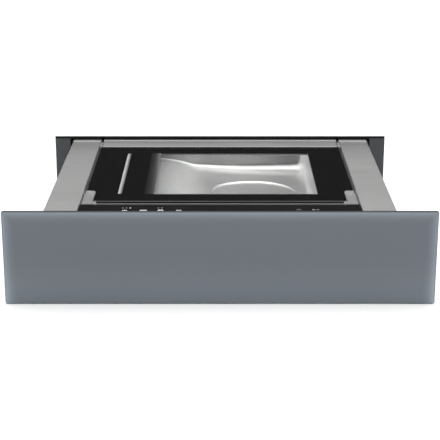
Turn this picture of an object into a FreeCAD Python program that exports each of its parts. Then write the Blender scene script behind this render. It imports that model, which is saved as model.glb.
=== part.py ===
import FreeCAD, Part
import math
import os

import Sketcher
from FreeCAD import Placement, Rotation, Vector

# Vacuum sealing drawer for a kitchen niche, drawn open with its glass lid shut.
# Frame: X to the right, Y into the niche, Z up; the origin is the middle of the casing's underside.
# Everything on the drawer is drawn with Y counted from the outer face of the glass front,
# and is placed as a whole at the open position.

doc = FreeCAD.newDocument("vacuum_sealing_drawer")

# ---------------------------------------------------------------- driving dimensions, mm
DIMS = [
    # casing that is screwed into the niche
    ("carcass_width", 556.0), ("carcass_depth", 530.0), ("carcass_height", 127.6),
    ("carcass_sheet", 1.2), ("band_height", 3.6), ("flange_width", 25.5), ("flange_return", 13.8),
    ("side_fold", 12.0), ("bead_rise", 2.2), ("fix_hole", 4.5), ("fix_low", 20.0), ("fix_high", 113.0),
    ("fix_y", -243.0), ("front_gap", 2.0), ("extension", 420.0),
    # glass front
    ("front_width", 597.0), ("front_height", 134.5), ("front_thick", 20.0), ("front_pane", 5.0),
    ("front_bevel", 1.2), ("pan_inset", 4.5), ("pan_low", 3.0), ("pan_top", 128.0), ("pan_sheet", 1.2),
    # drawer box
    ("drawer_half", 226.0), ("drawer_sheet", 1.5), ("drawer_low", 6.0), ("drawer_length", 537.0),
    ("rail_inner", 199.5), ("rail_outer", 247.0), ("rail_top", 122.0), ("rail_sheet", 1.5),
    ("rail_inner_drop", 11.5), ("rail_outer_drop", 16.0), ("rail_bend", 1.4),
    # telescopic slides
    ("race_low", 48.0), ("race_high", 98.0), ("race_wall", 2.0), ("race_gap", 4.2), ("ball_size", 4.0),
    ("outer_web", 243.5), ("mid_web", 239.5), ("outer_from", -258.0), ("outer_long", 470.0),
    ("mid_long", 464.0), ("inner_from", 32.0), ("inner_long", 460.0),
    # chamber tray and its recess for the lid
    ("tray_half", 198.8), ("tray_front", 86.0), ("tray_rear", 386.5), ("tray_sheet", 1.5),
    ("land_top", 119.0), ("recess_top", 111.5), ("recess_front", 88.2),
    ("well_left", -172.0), ("well_right", 152.0), ("well_front", 104.0), ("well_rear", 360.0),
    ("shelf_top", 105.0), ("floor_top", 87.0), ("ramp_start", -90.0), ("ramp_end", -18.0),
    ("ramp_bend", 150.0), ("floor_bend", 3.4), ("wall_corner", 28.0), ("shelf_corner", 12.0),
    ("trough_left", -158.0), ("trough_right", -135.0), ("trough_front", 109.0), ("trough_rear", 355.0),
    ("trough_floor", 96.0), ("ring_x", 52.0), ("ring_y", 219.0), ("ring_size", 66.0),
    ("ring_width", 5.0), ("ring_rise", 1.8), ("port_x", 110.0), ("port_y", 140.0), ("gasket_width", 6.0), ("gasket_high", 2.2),
    # glass lid
    ("lid_half", 196.5), ("lid_front", 89.0), ("lid_rear", 392.5), ("lid_top", 122.3), ("lid_thick", 8.0),
    ("notch_wide", 14.0), ("notch_long", 53.0), ("lid_corner", 5.0), ("lid_edge", 0.7), ("film", 0.3),
    ("window_left", -96.0), ("window_right", 142.0), ("window_front", 131.2), ("window_rear", 358.9),
    ("slit_left", -149.4), ("slit_right", -143.6), ("slit_front", 132.2), ("slit_rear", 357.3),
    ("hinge_y", 417.5), ("hinge_z", 113.5), ("bar_front", 392.8), ("bar_rear", 428.2), ("bar_half", 194.0),
    ("bar_low", 108.0), ("pin_size", 6.0), ("pin_clear", 0.05),
    # sealing bar
    ("seal_x", -146.5), ("seal_width", 14.0), ("seal_front", 113.0), ("seal_rear", 351.0),
    ("seal_low", 98.0), ("seal_high", 105.5), ("seal_travel", 4.3), ("element_thick", 0.8),
    ("counter_low", 110.8), ("counter_width", 13.0), ("counter_rear", 358.5),
    # control panel
    ("panel_front", 21.0), ("panel_rear", 85.2), ("panel_top", 119.0), ("panel_pane", 4.0),
    # pump, fan and hose
    ("pump_y", 489.0), ("pump_z", 60.0), ("pump_size", 84.0), ("fan_x", 150.0), ("fan_z", 60.0),
    ("fan_size", 70.0), ("fan_hole", 66.0), ("rotor_size", 62.0), ("hose_size", 12.0), ("hose_bore", 7.0),
    ("transformer_x", 25.0), ("transformer_y", 250.0), ("transformer_size", 96.0),
    # push latch
    ("latch_x", -262.0), ("latch_z", 26.0), ("latch_tip", 200.0), ("latch_face", 212.0), ("latch_rod", 8.0),
    # screws
    ("screw_shank", 3.0), ("screw_head", 6.4), ("screw_rise", 1.8),
]
sheet = doc.addObject("Spreadsheet::Sheet", "Dims")
for row, (alias, value) in enumerate(DIMS, start=1):
    sheet.set(f"A{row}", alias.replace("_", " "))
    sheet.set(f"B{row}", str(value))
    sheet.setAlias(f"B{row}", alias)
doc.recompute()


def val(expression):
    return float(sheet.evalExpression(expression))


# the glass front's outer face when the drawer stands open
OPEN = "-(Dims.carcass_depth / 2 + Dims.front_gap + Dims.front_thick + Dims.extension)"
SUBPARTS = []
ROLE = {"XY": "XY_Plane", "XZ": "XZ_Plane", "YZ": "YZ_Plane"}


# ---------------------------------------------------------------- helpers
def place(obj, drawer):
    if drawer:
        obj.setExpression("Placement.Base.y", OPEN)


def subpart(obj, label, drawer=False):
    obj.Label = label
    place(obj, drawer)
    SUBPARTS.append(obj)
    return obj


def new_body(label, drawer=False, listed=True):
    body = doc.addObject("PartDesign::Body", label)
    body.Label = label
    if listed:
        subpart(body, label, drawer)
    return body


def sketch(body, plane, level="0"):
    """A sketch on one of the body's own origin planes, shifted to a level along +X, +Y or +Z."""
    sk = body.newObject("Sketcher::SketchObject", body.Name + "_sketch")
    support = [f for f in body.Origin.OriginFeatures if f.Role == ROLE[plane]][0]
    sk.AttachmentSupport = [(support, "")]
    sk.MapMode = "FlatFace"
    sk.setExpression("AttachmentOffset.Base.z", f"-({level})" if plane == "XZ" else f"{level}")
    return sk


def pin(sk, geo, pos, x, y):
    for kind, text, axis in (("DistanceX", x, -2), ("DistanceY", y, -1)):
        if text == "0":
            sk.addConstraint(Sketcher.Constraint("PointOnObject", geo, pos, axis))
        else:
            c = sk.addConstraint(Sketcher.Constraint(kind, -1, 1, geo, pos, val(text)))
            sk.setExpression(f"Constraints[{c}]", text)


def poly(sk, points):
    first, n = sk.GeometryCount, len(points)
    at = [Vector(val(x), val(y), 0) for x, y in points]
    for i in range(n):
        sk.addGeometry(Part.LineSegment(at[i], at[(i + 1) % n]), False)
    for i in range(n):
        sk.addConstraint(Sketcher.Constraint("Coincident", first + i, 2, first + (i + 1) % n, 1))
    for i, (x, y) in enumerate(points):
        pin(sk, first + i, 1, x, y)
    return sk


def rect(sk, x0, x1, y0, y1):
    return poly(sk, [(x0, y0), (x1, y0), (x1, y1), (x0, y1)])


def circle(sk, x, y, r):
    g = sk.addGeometry(Part.Circle(Vector(val(x), val(y), 0), Vector(0, 0, 1), val(r)), False)
    pin(sk, g, 3, x, y)
    c = sk.addConstraint(Sketcher.Constraint("Radius", g, val(r)))
    sk.setExpression(f"Constraints[{c}]", r)
    return sk


def plane_of(sk):
    return sk.AttachmentSupport[0][0].Role[:2]


def pad(body, sk, length):
    f = body.newObject("PartDesign::Pad", body.Name + "_pad")
    f.Profile = sk
    f.Reversed = plane_of(sk) == "XZ"
    f.setExpression("Length", length)
    doc.recompute()
    return f


def pocket(body, sk, length):
    """Cuts from the sketch's level towards +X, +Y or +Z."""
    before = body.Shape.Volume
    f = body.newObject("PartDesign::Pocket", body.Name + "_pocket")
    f.Profile = sk
    f.Reversed = plane_of(sk) != "XZ"
    f.setExpression("Length", length)
    doc.recompute()
    if not body.Shape.Volume < before - 1e-3:
        raise RuntimeError(f"{body.Label}: a pocket cuts nothing")
    return f


def row_of(body, feature, axis, span, count):
    f = body.newObject("PartDesign::LinearPattern", body.Name + "_row")
    f.Originals = [feature]
    ax = [o for o in body.Origin.OriginFeatures if o.Role == axis + "_Axis"][0]
    f.Direction = (ax, [""])
    f.setExpression("Length", span)
    f.Occurrences = count
    body.Tip = f
    doc.recompute()
    return f


def ring_of(body, feature, axis, count):
    f = body.newObject("PartDesign::PolarPattern", body.Name + "_ring")
    f.Originals = [feature]
    f.Axis = axis
    f.Angle = 360.0
    f.Occurrences = count
    body.Tip = f
    doc.recompute()
    return f


def edges(shape, test):
    return [f"Edge{i}" for i, e in enumerate(shape.Edges, start=1) if test(e)]


def soften(body, radius, test, kind="Fillet"):
    base = body.Tip
    names = edges(base.Shape, test)
    if not names:
        raise RuntimeError(f"{body.Label}: no edge to soften")
    f = body.newObject(f"PartDesign::{kind}", f"{body.Name}_{kind.lower()}")
    f.Base = (base, names)
    f.setExpression("Radius" if kind == "Fillet" else "Size", radius)
    doc.recompute()
    if "Invalid" in f.State or "Error" in f.State:
        raise RuntimeError(f"{body.Label}: {kind} failed on {names}")
    return f


def along(e, axis):
    """True for a straight edge parallel to an axis."""
    if e.Curve.TypeId != "Part::GeomLine":
        return False
    d = e.Curve.Direction
    return abs(abs({"X": d.x, "Y": d.y, "Z": d.z}[axis]) - 1) < 1e-6


def near(value, text, tol=0.02):
    return abs(value - val(text)) < tol


def box(x0, x1, y0, y1, z0, z1, name="block"):
    o = doc.addObject("Part::Box", name)
    for size, at, a, b in (("Length", "x", x0, x1), ("Width", "y", y0, y1), ("Height", "z", z0, z1)):
        o.setExpression(size, f"({b}) - ({a})")
        o.setExpression("Placement.Base." + at, a)
    return o


def rod(x, y, z, r, length, axis="Z", name="rod"):
    """A cylinder from a point along +X, +Y or +Z."""
    o = doc.addObject("Part::Cylinder", name)
    turn = {"Z": Rotation(), "X": Rotation(Vector(0, 1, 0), 90), "Y": Rotation(Vector(1, 0, 0), -90)}[axis]
    o.Placement = Placement(Vector(0, 0, 0), turn)
    for at, text in (("x", x), ("y", y), ("z", z)):
        o.setExpression("Placement.Base." + at, text)
    o.setExpression("Radius", r)
    o.setExpression("Height", length)
    return o


def cut(base, tool, name="cut"):
    o = doc.addObject("Part::Cut", name)
    o.Base, o.Tool = base, tool
    return o


def join(parts, name="join"):
    o = doc.addObject("Part::MultiFuse", name)
    o.Shapes = parts
    return o


def group(parts, label, drawer=False):
    o = doc.addObject("Part::Compound", label)
    o.Links = parts
    return subpart(o, label, drawer)


HW, HD, T = "Dims.carcass_width / 2", "Dims.carcass_depth / 2", "Dims.carcass_sheet"
ZT = "Dims.carcass_height"
ZB = "Dims.carcass_height - Dims.band_height"
INX = f"{HW} - {T}"
BRACKET_SCREWS = [(y, z) for y in ("-200", "0", "180") for z in ("37.5", "108.5")]

# ---------------------------------------------------------------- casing
# bottom plate, with raised beads and a row of air slots at the rear
b = new_body("carcass_base")
pad(b, rect(sketch(b, "XY"), f"-({INX})", INX, f"-{HD} + {T}", f"{HD} - {T}"), T)
f = pad(b, rect(sketch(b, "XY", T), "-190", "-170", "-230", "190"), "Dims.bead_rise")
row_of(b, f, "X", "360", 4)
f = pocket(b, rect(sketch(b, "XY"), "-150", "-144", "215", "250"), T)
row_of(b, f, "X", "294", 15)

# side plates, folded inwards at top and bottom, with the niche fixing holes and the slide bracket's screw holes
for side, s in (("left", "-1"), ("right", "1")):
    b = new_body("carcass_side_" + side)
    x = lambda text: f"{s} * ({text})"
    fold = f"{INX} - Dims.side_fold"
    pad(b, poly(sketch(b, "XZ", f"-{HD} + {T}"), [
        (x(HW), "0"), (x(HW), ZT), (x(INX), ZT), (x(INX), f"{ZT} - {T}"), (x(fold), f"{ZT} - {T}"),
        (x(fold), f"{ZT} - 2 * {T}"), (x(INX), f"{ZT} - 2 * {T}"), (x(INX), f"2 * {T}"), (x(fold), f"2 * {T}"),
        (x(fold), T), (x(INX), T), (x(INX), "0")]), f"2 * ({HD} - {T})")
    start = f"-{HW} - 1" if side == "left" else f"{INX} - 1"
    sk = sketch(b, "YZ", start)
    for z in ("Dims.fix_low", "Dims.fix_high"):
        circle(sk, "Dims.fix_y", z, "Dims.fix_hole / 2")
    for y, z in BRACKET_SCREWS:
        circle(sk, y, z, "Dims.screw_shank / 2 + 0.1")
    pocket(b, sk, f"{T} + 2")

# top plate with long stiffening beads
b = new_body("carcass_top")
pad(b, rect(sketch(b, "XY", f"{ZT} - {T}"), f"-({INX})", INX, f"-{HD} + {T}", f"{HD} - {T}"), T)
f = pocket(b, rect(sketch(b, "XY", f"{ZT} - 0.5"), "-210", "-196", "-225", "150"), "1")
row_of(b, f, "X", "406", 8)

# rear plate with air slots and the hole for the cable gland
b = new_body("carcass_back")
pad(b, rect(sketch(b, "XZ", f"{HD} - {T}"), f"-{HW}", HW, "0", ZT), T)
pocket(b, circle(sketch(b, "XZ", f"{HD} - {T}"), f"{HW} - 15.5", "70", "7.6"), T)
f = pocket(b, rect(sketch(b, "XZ", f"{HD} - {T}"), "-200", "-196", "25", "100"), T)
row_of(b, f, "X", "396", 34)

# front flanges either side of the drawer, and the thin dark band above it
for side, s in (("left", "-1"), ("right", "1")):
    b = new_body("front_flange_" + side)
    x = lambda text: f"{s} * ({text})"
    inner = f"{HW} - Dims.flange_width"
    pad(b, poly(sketch(b, "XY", T), [
        (x(inner), f"-{HD}"), (x(HW), f"-{HD}"), (x(HW), f"-{HD} + {T}"), (x(f"{inner} + {T}"), f"-{HD} + {T}"),
        (x(f"{inner} + {T}"), f"-{HD} + {T} + Dims.flange_return"), (x(inner), f"-{HD} + {T} + Dims.flange_return")]), f"{ZB} - {T}")
    soften(b, "0.9", lambda e: along(e, "Z") and near(e.BoundBox.YMin, f"-{HD}") and near(abs(e.BoundBox.XMin), inner))
b = new_body("front_top_band")
pad(b, rect(sketch(b, "XZ", f"-{HD}"), f"-{HW}", HW, ZB, ZT), T)
pad(b, rect(sketch(b, "XZ", f"-{HD} + {T}"), f"-({INX}) + 1", f"{INX} - 1", ZB, f"{ZB} + {T}"), "7.8")
soften(b, "0.5", lambda e: along(e, "X") and near(e.BoundBox.YMin, f"-{HD}"))

# hat-section brackets that carry the fixed slide members, one solid each side
brackets = []
for side, s in (("left", "-1"), ("right", "1")):
    b = new_body("slide_bracket_" + side, listed=False)
    x = lambda text: f"{s} * ({text})"
    web, lo, hi = "Dims.outer_web + Dims.race_wall", "44", "102"
    pad(b, poly(sketch(b, "XZ", "-235"), [
        (x(web), lo), (x(f"{INX} - 1.5"), lo), (x(f"{INX} - 1.5"), "30"), (x(INX), "30"), (x(INX), f"{lo} + 1.5"),
        (x(f"{web} + 1.5"), f"{lo} + 1.5"), (x(f"{web} + 1.5"), f"{hi} - 1.5"), (x(INX), f"{hi} - 1.5"), (x(INX), "116"),
        (x(f"{INX} - 1.5"), "116"), (x(f"{INX} - 1.5"), hi), (x(web), hi)]), "440")
    sk = sketch(b, "YZ", f"-{HW} - 1" if side == "left" else f"{INX} - 2")
    for y, z in BRACKET_SCREWS:
        circle(sk, y, z, "Dims.screw_shank / 2 + 0.1")
    pocket(b, sk, "4.2")
    brackets.append(b)
group(brackets, "slide_brackets")

# cable gland with its two nuts and a clear bore for the mains lead
gx = f"{HW} - 15.5"
gland = join([rod(gx, f"{HD} - {T} - 5.5", "70", "7.5", f"{T} + 14", "Y"), rod(gx, HD, "70", "10.5", "5", "Y"),
              rod(gx, f"{HD} - {T} - 5", "70", "10.5", "5", "Y"), rod(gx, f"{HD} + 5", "70", "8.8", "7", "Y")], "gland_solid")
subpart(cut(gland, rod(gx, f"{HD} - 20", "70", "4", "50", "Y"), "cable_gland"), "cable_gland")

# push latch: housing on the left wall, and its sprung plunger
housing = box(f"-({INX})", "-252.5", "Dims.latch_face", "Dims.latch_face + 50", "14", "38")
bore = rod("Dims.latch_x", "Dims.latch_face - 1", "Dims.latch_z", "Dims.latch_rod / 2 + 0.1", "33", "Y")
subpart(cut(housing, bore, "latch_housing"), "latch_housing")
plunger = join([rod("Dims.latch_x", "Dims.latch_tip", "Dims.latch_z", "Dims.latch_rod / 2", "36", "Y"),
                rod("Dims.latch_x", "Dims.latch_tip", "Dims.latch_z", "Dims.latch_rod / 2 + 2", "3", "Y")], "latch_plunger")
subpart(plunger, "latch_plunger")

# ---------------------------------------------------------------- telescopic slides
lo, hi, w, gap = "Dims.race_low", "Dims.race_high", "Dims.race_wall", "Dims.race_gap"
mlo, mhi = f"{lo} + {w} + {gap}", f"{hi} - {w} - {gap}"
ilo, ihi = f"{mlo} + {w} + {gap}", f"{mhi} - {w} - {gap}"


def channel(label, s, level, web, lip, zlo, zhi, length, drawer=False, outward=False):
    """A C-shaped rolled slide member: its web at one side, its two races reaching the other way."""
    b = new_body(label, drawer)
    x = lambda text: f"{s} * ({text})"
    back = f"{web} - {w}" if outward else f"{web} + {w}"
    pad(b, poly(sketch(b, "XZ", level), [
        (x(back), zlo), (x(lip), zlo), (x(lip), f"{zlo} + {w}"), (x(web), f"{zlo} + {w}"),
        (x(web), f"{zhi} - {w}"), (x(lip), f"{zhi} - {w}"), (x(lip), zhi), (x(back), zhi)]), length)
    soften(b, "1.2", lambda e: along(e, "Y") and near(abs(e.BoundBox.XMin), back))
    return b


MID_AT = "Dims.outer_from + 2 - Dims.extension / 2"
for side, s in (("left", "-1"), ("right", "1")):
    channel("slide_outer_" + side, s, "Dims.outer_from", "Dims.outer_web", "230.5", lo, hi, "Dims.outer_long")
    b = channel("slide_mid_" + side, s, MID_AT, "Dims.mid_web", "230", mlo, mhi, "Dims.mid_long")
    sk = sketch(b, "YZ", "-245" if side == "left" else "235")
    rect(sk, f"{MID_AT} + 30", f"{MID_AT} + 60", "69", "77")
    f = pocket(b, sk, "10")
    row_of(b, f, "Y", "370", 5)
    b = channel("slide_inner_" + side, s, "Dims.inner_from", "228", "236.5", ilo, ihi, "Dims.inner_long", drawer=True, outward=True)

# ball cages: a thin strip bent round the races, with its balls
BALL = "Dims.ball_size / 2"


def cage(name, s, middle, web, lip, zlo, zhi, ball_x):
    """The cage lies midway in the two gaps between two members."""
    t = 0.8
    m = lambda v: (1 if s > 0 else -1) * v
    y0, length = middle - 90, 180.0
    p = [(web, zlo - t / 2), (lip, zlo - t / 2), (lip, zlo + t / 2), (web - t, zlo + t / 2), (web - t, zhi - t / 2),
         (lip, zhi - t / 2), (lip, zhi + t / 2), (web, zhi + t / 2)]
    wire = Part.makePolygon([Vector(m(a), y0, c) for a, c in p + p[:1]])
    body = Part.Face(wire).extrude(Vector(0, length, 0))
    balls = [Part.makeSphere(val(BALL), Vector(m(ball_x), y0 + 15 + 25 * i, z)) for i in range(7) for z in (zlo, zhi)]
    return body.fuse(balls).removeSplitter()


def free_shape(label, shape, drawer=False):
    o = doc.addObject("Part::Feature", label)
    o.Shape = shape
    return subpart(o, label, drawer)


zo = val(f"{lo} + {w} + {gap} / 2"), val(f"{hi} - {w} - {gap} / 2")
zi = val(f"{mlo} + {w} + {gap} / 2"), val(f"{mhi} - {w} - {gap} / 2")
free_shape("ball_cages_outer", Part.makeCompound([cage("o", s, -130.0, 242.9, 232.5, zo[0], zo[1], 235.0) for s in (-1, 1)]))
free_shape("ball_cages_inner", Part.makeCompound([cage("i", s, -340.0, 238.4, 231.2, zi[0], zi[1], 233.6) for s in (-1, 1)]))

# ---------------------------------------------------------------- glass front
FW = "Dims.front_width / 2"
b = new_body("front_glass", True)
pad(b, rect(sketch(b, "XZ"), f"-{FW}", FW, "0", "Dims.front_height"), "Dims.front_pane")
soften(b, "2.5", lambda e: along(e, "Y"))
soften(b, "Dims.front_bevel", lambda e: near(e.BoundBox.YMax, "0") and near(e.BoundBox.YMin, "0"), "Chamfer")
soften(b, "0.5", lambda e: near(e.BoundBox.YMax, "Dims.front_pane") and near(e.BoundBox.YMin, "Dims.front_pane"), "Chamfer")

# sheet pan glued behind the pane, closed by a liner plate
PX = f"{FW} - Dims.pan_inset"
PS = "Dims.pan_sheet"
b = new_body("front_backing", True)
pad(b, rect(sketch(b, "XZ", "Dims.front_pane"), f"-({PX})", PX, "Dims.pan_low", "Dims.pan_top"), "Dims.front_thick - Dims.front_pane")
soften(b, "1.6", lambda e: along(e, "Y"))
pocket(b, rect(sketch(b, "XZ", f"Dims.front_pane + {PS}"), f"-({PX}) + {PS}", f"{PX} - {PS}", f"Dims.pan_low + {PS}", f"Dims.pan_top - {PS}"),
       "Dims.front_thick")
b = new_body("front_liner", True)
pad(b, rect(sketch(b, "XZ", f"Dims.front_thick - {PS}"), f"-({PX}) + {PS}", f"{PX} - {PS}", f"Dims.pan_low + {PS}", f"Dims.pan_top - {PS}"), PS)
f = pocket(b, circle(sketch(b, "XZ", f"Dims.front_thick - {PS}"), "-240", "65", "7"), PS)
row_of(b, f, "X", "480", 3)

# four rubber buffers that meet the casing's flanges
buffers = [rod(f"{s} * 265", "Dims.front_thick", z, "6", "1.8", "Y") for s in ("-1", "1") for z in ("14", "112")]
group(buffers, "front_buffers", True)

# corner brackets between the front and the drawer's sides
angles = []
for side, s in (("left", "-1"), ("right", "1")):
    b = new_body("front_angle_" + side, listed=False)
    x = lambda text: f"{s} * ({text})"
    xo, xi = "Dims.drawer_half - Dims.drawer_sheet", "Dims.drawer_half - Dims.drawer_sheet - 2.5"
    y0 = "Dims.front_thick"
    pad(b, poly(sketch(b, "XY", "38"), [(x(xo), y0), (x(xo), f"{y0} + 40"), (x(xi), f"{y0} + 40"), (x(xi), f"{y0} + 2.5"),
                                        (x("180"), f"{y0} + 2.5"), (x("180"), y0)]), "57")
    sk = sketch(b, "YZ", "-226" if side == "left" else "220")
    for y in ("32", "52"):
        for z in ("44", "90"):
            circle(sk, y, z, "Dims.screw_shank / 2 + 0.1")
    pocket(b, sk, "6")
    angles.append(b)
group(angles, "front_brackets", True)

# ---------------------------------------------------------------- drawer box
DH, DS, DL = "Dims.drawer_half", "Dims.drawer_sheet", "Dims.drawer_length"
IN = f"{DH} - {DS}"
ZF = f"Dims.drawer_low + {DS}"
FT = "Dims.front_thick"
RT, RS = "Dims.rail_top", "Dims.rail_sheet"

b = new_body("drawer_floor", True)
pad(b, rect(sketch(b, "XY", "Dims.drawer_low"), f"-({IN})", IN, FT, DL), DS)
f = pocket(b, rect(sketch(b, "XY", "Dims.drawer_low"), "-196", "-191", "330", "385"), DS)
row_of(b, f, "X", "220", 16)

for side, s in (("left", "-1"), ("right", "1")):
    x = lambda text: f"{s} * ({text})"
    b = new_body("drawer_side_" + side, True)
    top = f"{RT} - {RS}"
    pad(b, poly(sketch(b, "XZ", FT), [(x(DH), "Dims.drawer_low"), (x(DH), top), (x("208"), top), (x("208"), f"{top} - {DS}"),
                                      (x(IN), f"{top} - {DS}"), (x(IN), "Dims.drawer_low")]), f"{DL} - {FT}")
    sk = sketch(b, "YZ", "-228" if side == "left" else "223")
    for y in ("32", "52"):
        for z in ("44", "90"):
            circle(sk, y, z, "Dims.screw_shank / 2 + 0.1")
    pocket(b, sk, "5")
    # brushed cover over the side and its slide
    b = new_body("rail_cover_" + side, True)
    ri, ro = "Dims.rail_inner", "Dims.rail_outer"
    pad(b, poly(sketch(b, "XZ", FT), [
        (x(ri), f"{RT} - Dims.rail_inner_drop"), (x(ri), RT), (x(ro), RT), (x(ro), f"{RT} - Dims.rail_outer_drop"),
        (x(f"{ro} - {RS}"), f"{RT} - Dims.rail_outer_drop"), (x(f"{ro} - {RS}"), f"{RT} - {RS}"),
        (x(f"{ri} + {RS}"), f"{RT} - {RS}"), (x(f"{ri} + {RS}"), f"{RT} - Dims.rail_inner_drop")]), f"{DL} - {DS} - {FT}")
    soften(b, "Dims.rail_bend", lambda e: along(e, "Y") and near(e.BoundBox.ZMax, RT))
    soften(b, "0.5", lambda e: along(e, "Y") and near(e.BoundBox.ZMax, f"{RT} - {RS}")
           and (near(abs(e.BoundBox.XMin), f"{ri} + {RS}") or near(abs(e.BoundBox.XMin), f"{ro} - {RS}")))

b = new_body("drawer_back", True)
pad(b, rect(sketch(b, "XZ", f"{DL} - {DS}"), f"-({IN})", IN, ZF, "118.8"), DS)
pocket(b, circle(sketch(b, "XZ", f"{DL} - {DS}"), "Dims.fan_x", "Dims.fan_z", "Dims.fan_hole / 2 - 1"), DS)
f = pocket(b, rect(sketch(b, "XZ", f"{DL} - {DS}"), "-190", "-186", "30", "90"), DS)
row_of(b, f, "X", "230", 20)

# striker that meets the push latch
b = new_body("latch_striker", True)
pad(b, poly(sketch(b, "XY", "18"), [(f"-{DH}", "466.5"), (f"-{DH}", "486.5"), ("-268", "486.5"), ("-268", "484"),
                                    (f"-{DH} - 2.5", "484"), (f"-{DH} - 2.5", "466.5")]), "16")

# channels across the drawer that carry the chamber tray
bars = []
for n, (y0, y1) in enumerate((("85.8", "100"), ("373.8", "386"))):
    b = new_body(f"crossbar_{n}", listed=False)
    top = "Dims.recess_top - Dims.tray_sheet"
    pad(b, poly(sketch(b, "YZ", f"-({IN})"), [(y0, "90"), (y0, top), (y1, top), (y1, "90"), (f"{y1} - 1.5", "90"),
                                              (f"{y1} - 1.5", f"{top} - 1.5"), (f"{y0} + 1.5", f"{top} - 1.5"), (f"{y0} + 1.5", "90")]),
        f"2 * ({IN})")
    bars.append(b)
group(bars, "tray_crossbars", True)

# ---------------------------------------------------------------- chamber tray: lid recess, stepped well, trough, ring bead
TH, TS = "Dims.tray_half", "Dims.tray_sheet"
RZ, RB, LT = "Dims.recess_top", "Dims.recess_top - Dims.tray_sheet", "Dims.land_top"
WL, WR, WF, WB = "Dims.well_left", "Dims.well_right", "Dims.well_front", "Dims.well_rear"
NI = "Dims.lid_half - Dims.notch_wide + 1"      # inner edge of the corner lands
NY = "Dims.lid_front + Dims.notch_long - 1"     # rear end of the corner lands
inx = f"{TH} - {TS}"
# flat plate with the lid recess, lands left in its two front corners, and hollows under the lands
b = plate_body = new_body("tray_plate", listed=False)
pad(b, rect(sketch(b, "XY", RB), f"-{TH}", TH, "Dims.tray_front", "Dims.tray_rear"), f"{LT} - ({RB})")
pocket(b, poly(sketch(b, "XY", RZ), [
    (f"-({NI})", "Dims.recess_front"), (NI, "Dims.recess_front"), (NI, NY), (inx, NY), (inx, "Dims.tray_rear + 1"),
    (f"-({inx})", "Dims.tray_rear + 1"), (f"-({inx})", NY), (f"-({NI})", NY)]), "20")
soften(b, "Dims.lid_corner + 1", lambda e: along(e, "Z") and near(e.BoundBox.YMax, NY) and near(abs(e.BoundBox.XMin), NI))
for x0, x1 in ((f"-({inx})", f"-({NI}) - {TS}"), (f"{NI} + {TS}", inx)):
    pocket(b, rect(sketch(b, "XY", RB), x0, x1, f"Dims.tray_front + {TS}", f"{NY} - {TS}"), f"{LT} - ({RB}) - {TS}")
# low side rims beside the lid, so that the rails' inner walls show there
for x0, x1 in ((f"-({TH}) - 1", f"-({inx}) + 1"), (f"{inx} - 1", f"{TH} + 1")):
    pocket(b, rect(sketch(b, "XY", "114"), x0, x1, NY, "Dims.tray_rear + 1"), "20")
soften(b, "1.2", lambda e: near(e.BoundBox.ZMin, LT) and (along(e, "X") or along(e, "Y")) and (
    near(e.BoundBox.YMax, NY) or (along(e, "Y") and near(abs(e.BoundBox.XMax), NI))))
soften(b, "0.4", lambda e: near(e.BoundBox.ZMin, LT) and along(e, "X") and near(e.BoundBox.YMax, "Dims.tray_front"))
soften(b, "0.4", lambda e: near(e.BoundBox.ZMin, LT) and along(e, "X") and near(e.BoundBox.YMax, "Dims.recess_front"))


def well(label, grow, top, foot_bend):
    """The stepped well: a shallow shelf on the left, a ramp, and a deeper floor on the right."""
    w_ = new_body(label, listed=False)
    off = f"({grow}) * 0.123"
    pad(w_, poly(sketch(w_, "XZ", f"{WF} - ({grow})"), [
        (f"{WL} - ({grow})", top), (f"{WR} + {grow}", top), (f"{WR} + {grow}", f"Dims.floor_top - ({grow})"),
        (f"Dims.ramp_end - {off}", f"Dims.floor_top - ({grow})"), (f"Dims.ramp_start - {off}", f"Dims.shelf_top - ({grow})"),
        (f"{WL} - ({grow})", f"Dims.shelf_top - ({grow})")]), f"{WB} - {WF} + 2 * ({grow})")
    soften(w_, f"Dims.wall_corner + {grow}", lambda e: along(e, "Z") and near(e.BoundBox.XMax, f"{WR} + {grow}"))
    soften(w_, f"Dims.shelf_corner + {grow}", lambda e: along(e, "Z") and near(e.BoundBox.XMax, f"{WL} - ({grow})"))
    soften(w_, "Dims.ramp_bend", lambda e: along(e, "Y") and near(e.BoundBox.XMax, f"Dims.ramp_start - {off}"))
    soften(w_, "Dims.ramp_bend", lambda e: along(e, "Y") and near(e.BoundBox.XMax, f"Dims.ramp_end - {off}"))
    soften(w_, foot_bend, lambda e: along(e, "X") and near(e.BoundBox.ZMax, f"Dims.floor_top - ({grow})"))
    return w_


skin = well("well_skin", TS, RB, "Dims.floor_bend")
hollow = well("well_hollow", "0", f"{RZ} + 1", "Dims.floor_bend")
trough = [box(f"Dims.trough_left - {g}", f"Dims.trough_right + {g}", f"Dims.trough_front - {g}", f"Dims.trough_rear + {g}",
              f"Dims.trough_floor - {g}", z_top, "trough") for g, z_top in ((TS, "Dims.shelf_top - 0.5"), ("0", "Dims.shelf_top + 2"))]
holes = [rod("Dims.seal_x", y, f"Dims.trough_floor - {TS} - 1", "5.1", "5") for y in ("155", "315")]
holes.append(rod("Dims.port_x", "Dims.port_y", f"Dims.floor_top - {TS} - 1", "11.6", "5"))
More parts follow.
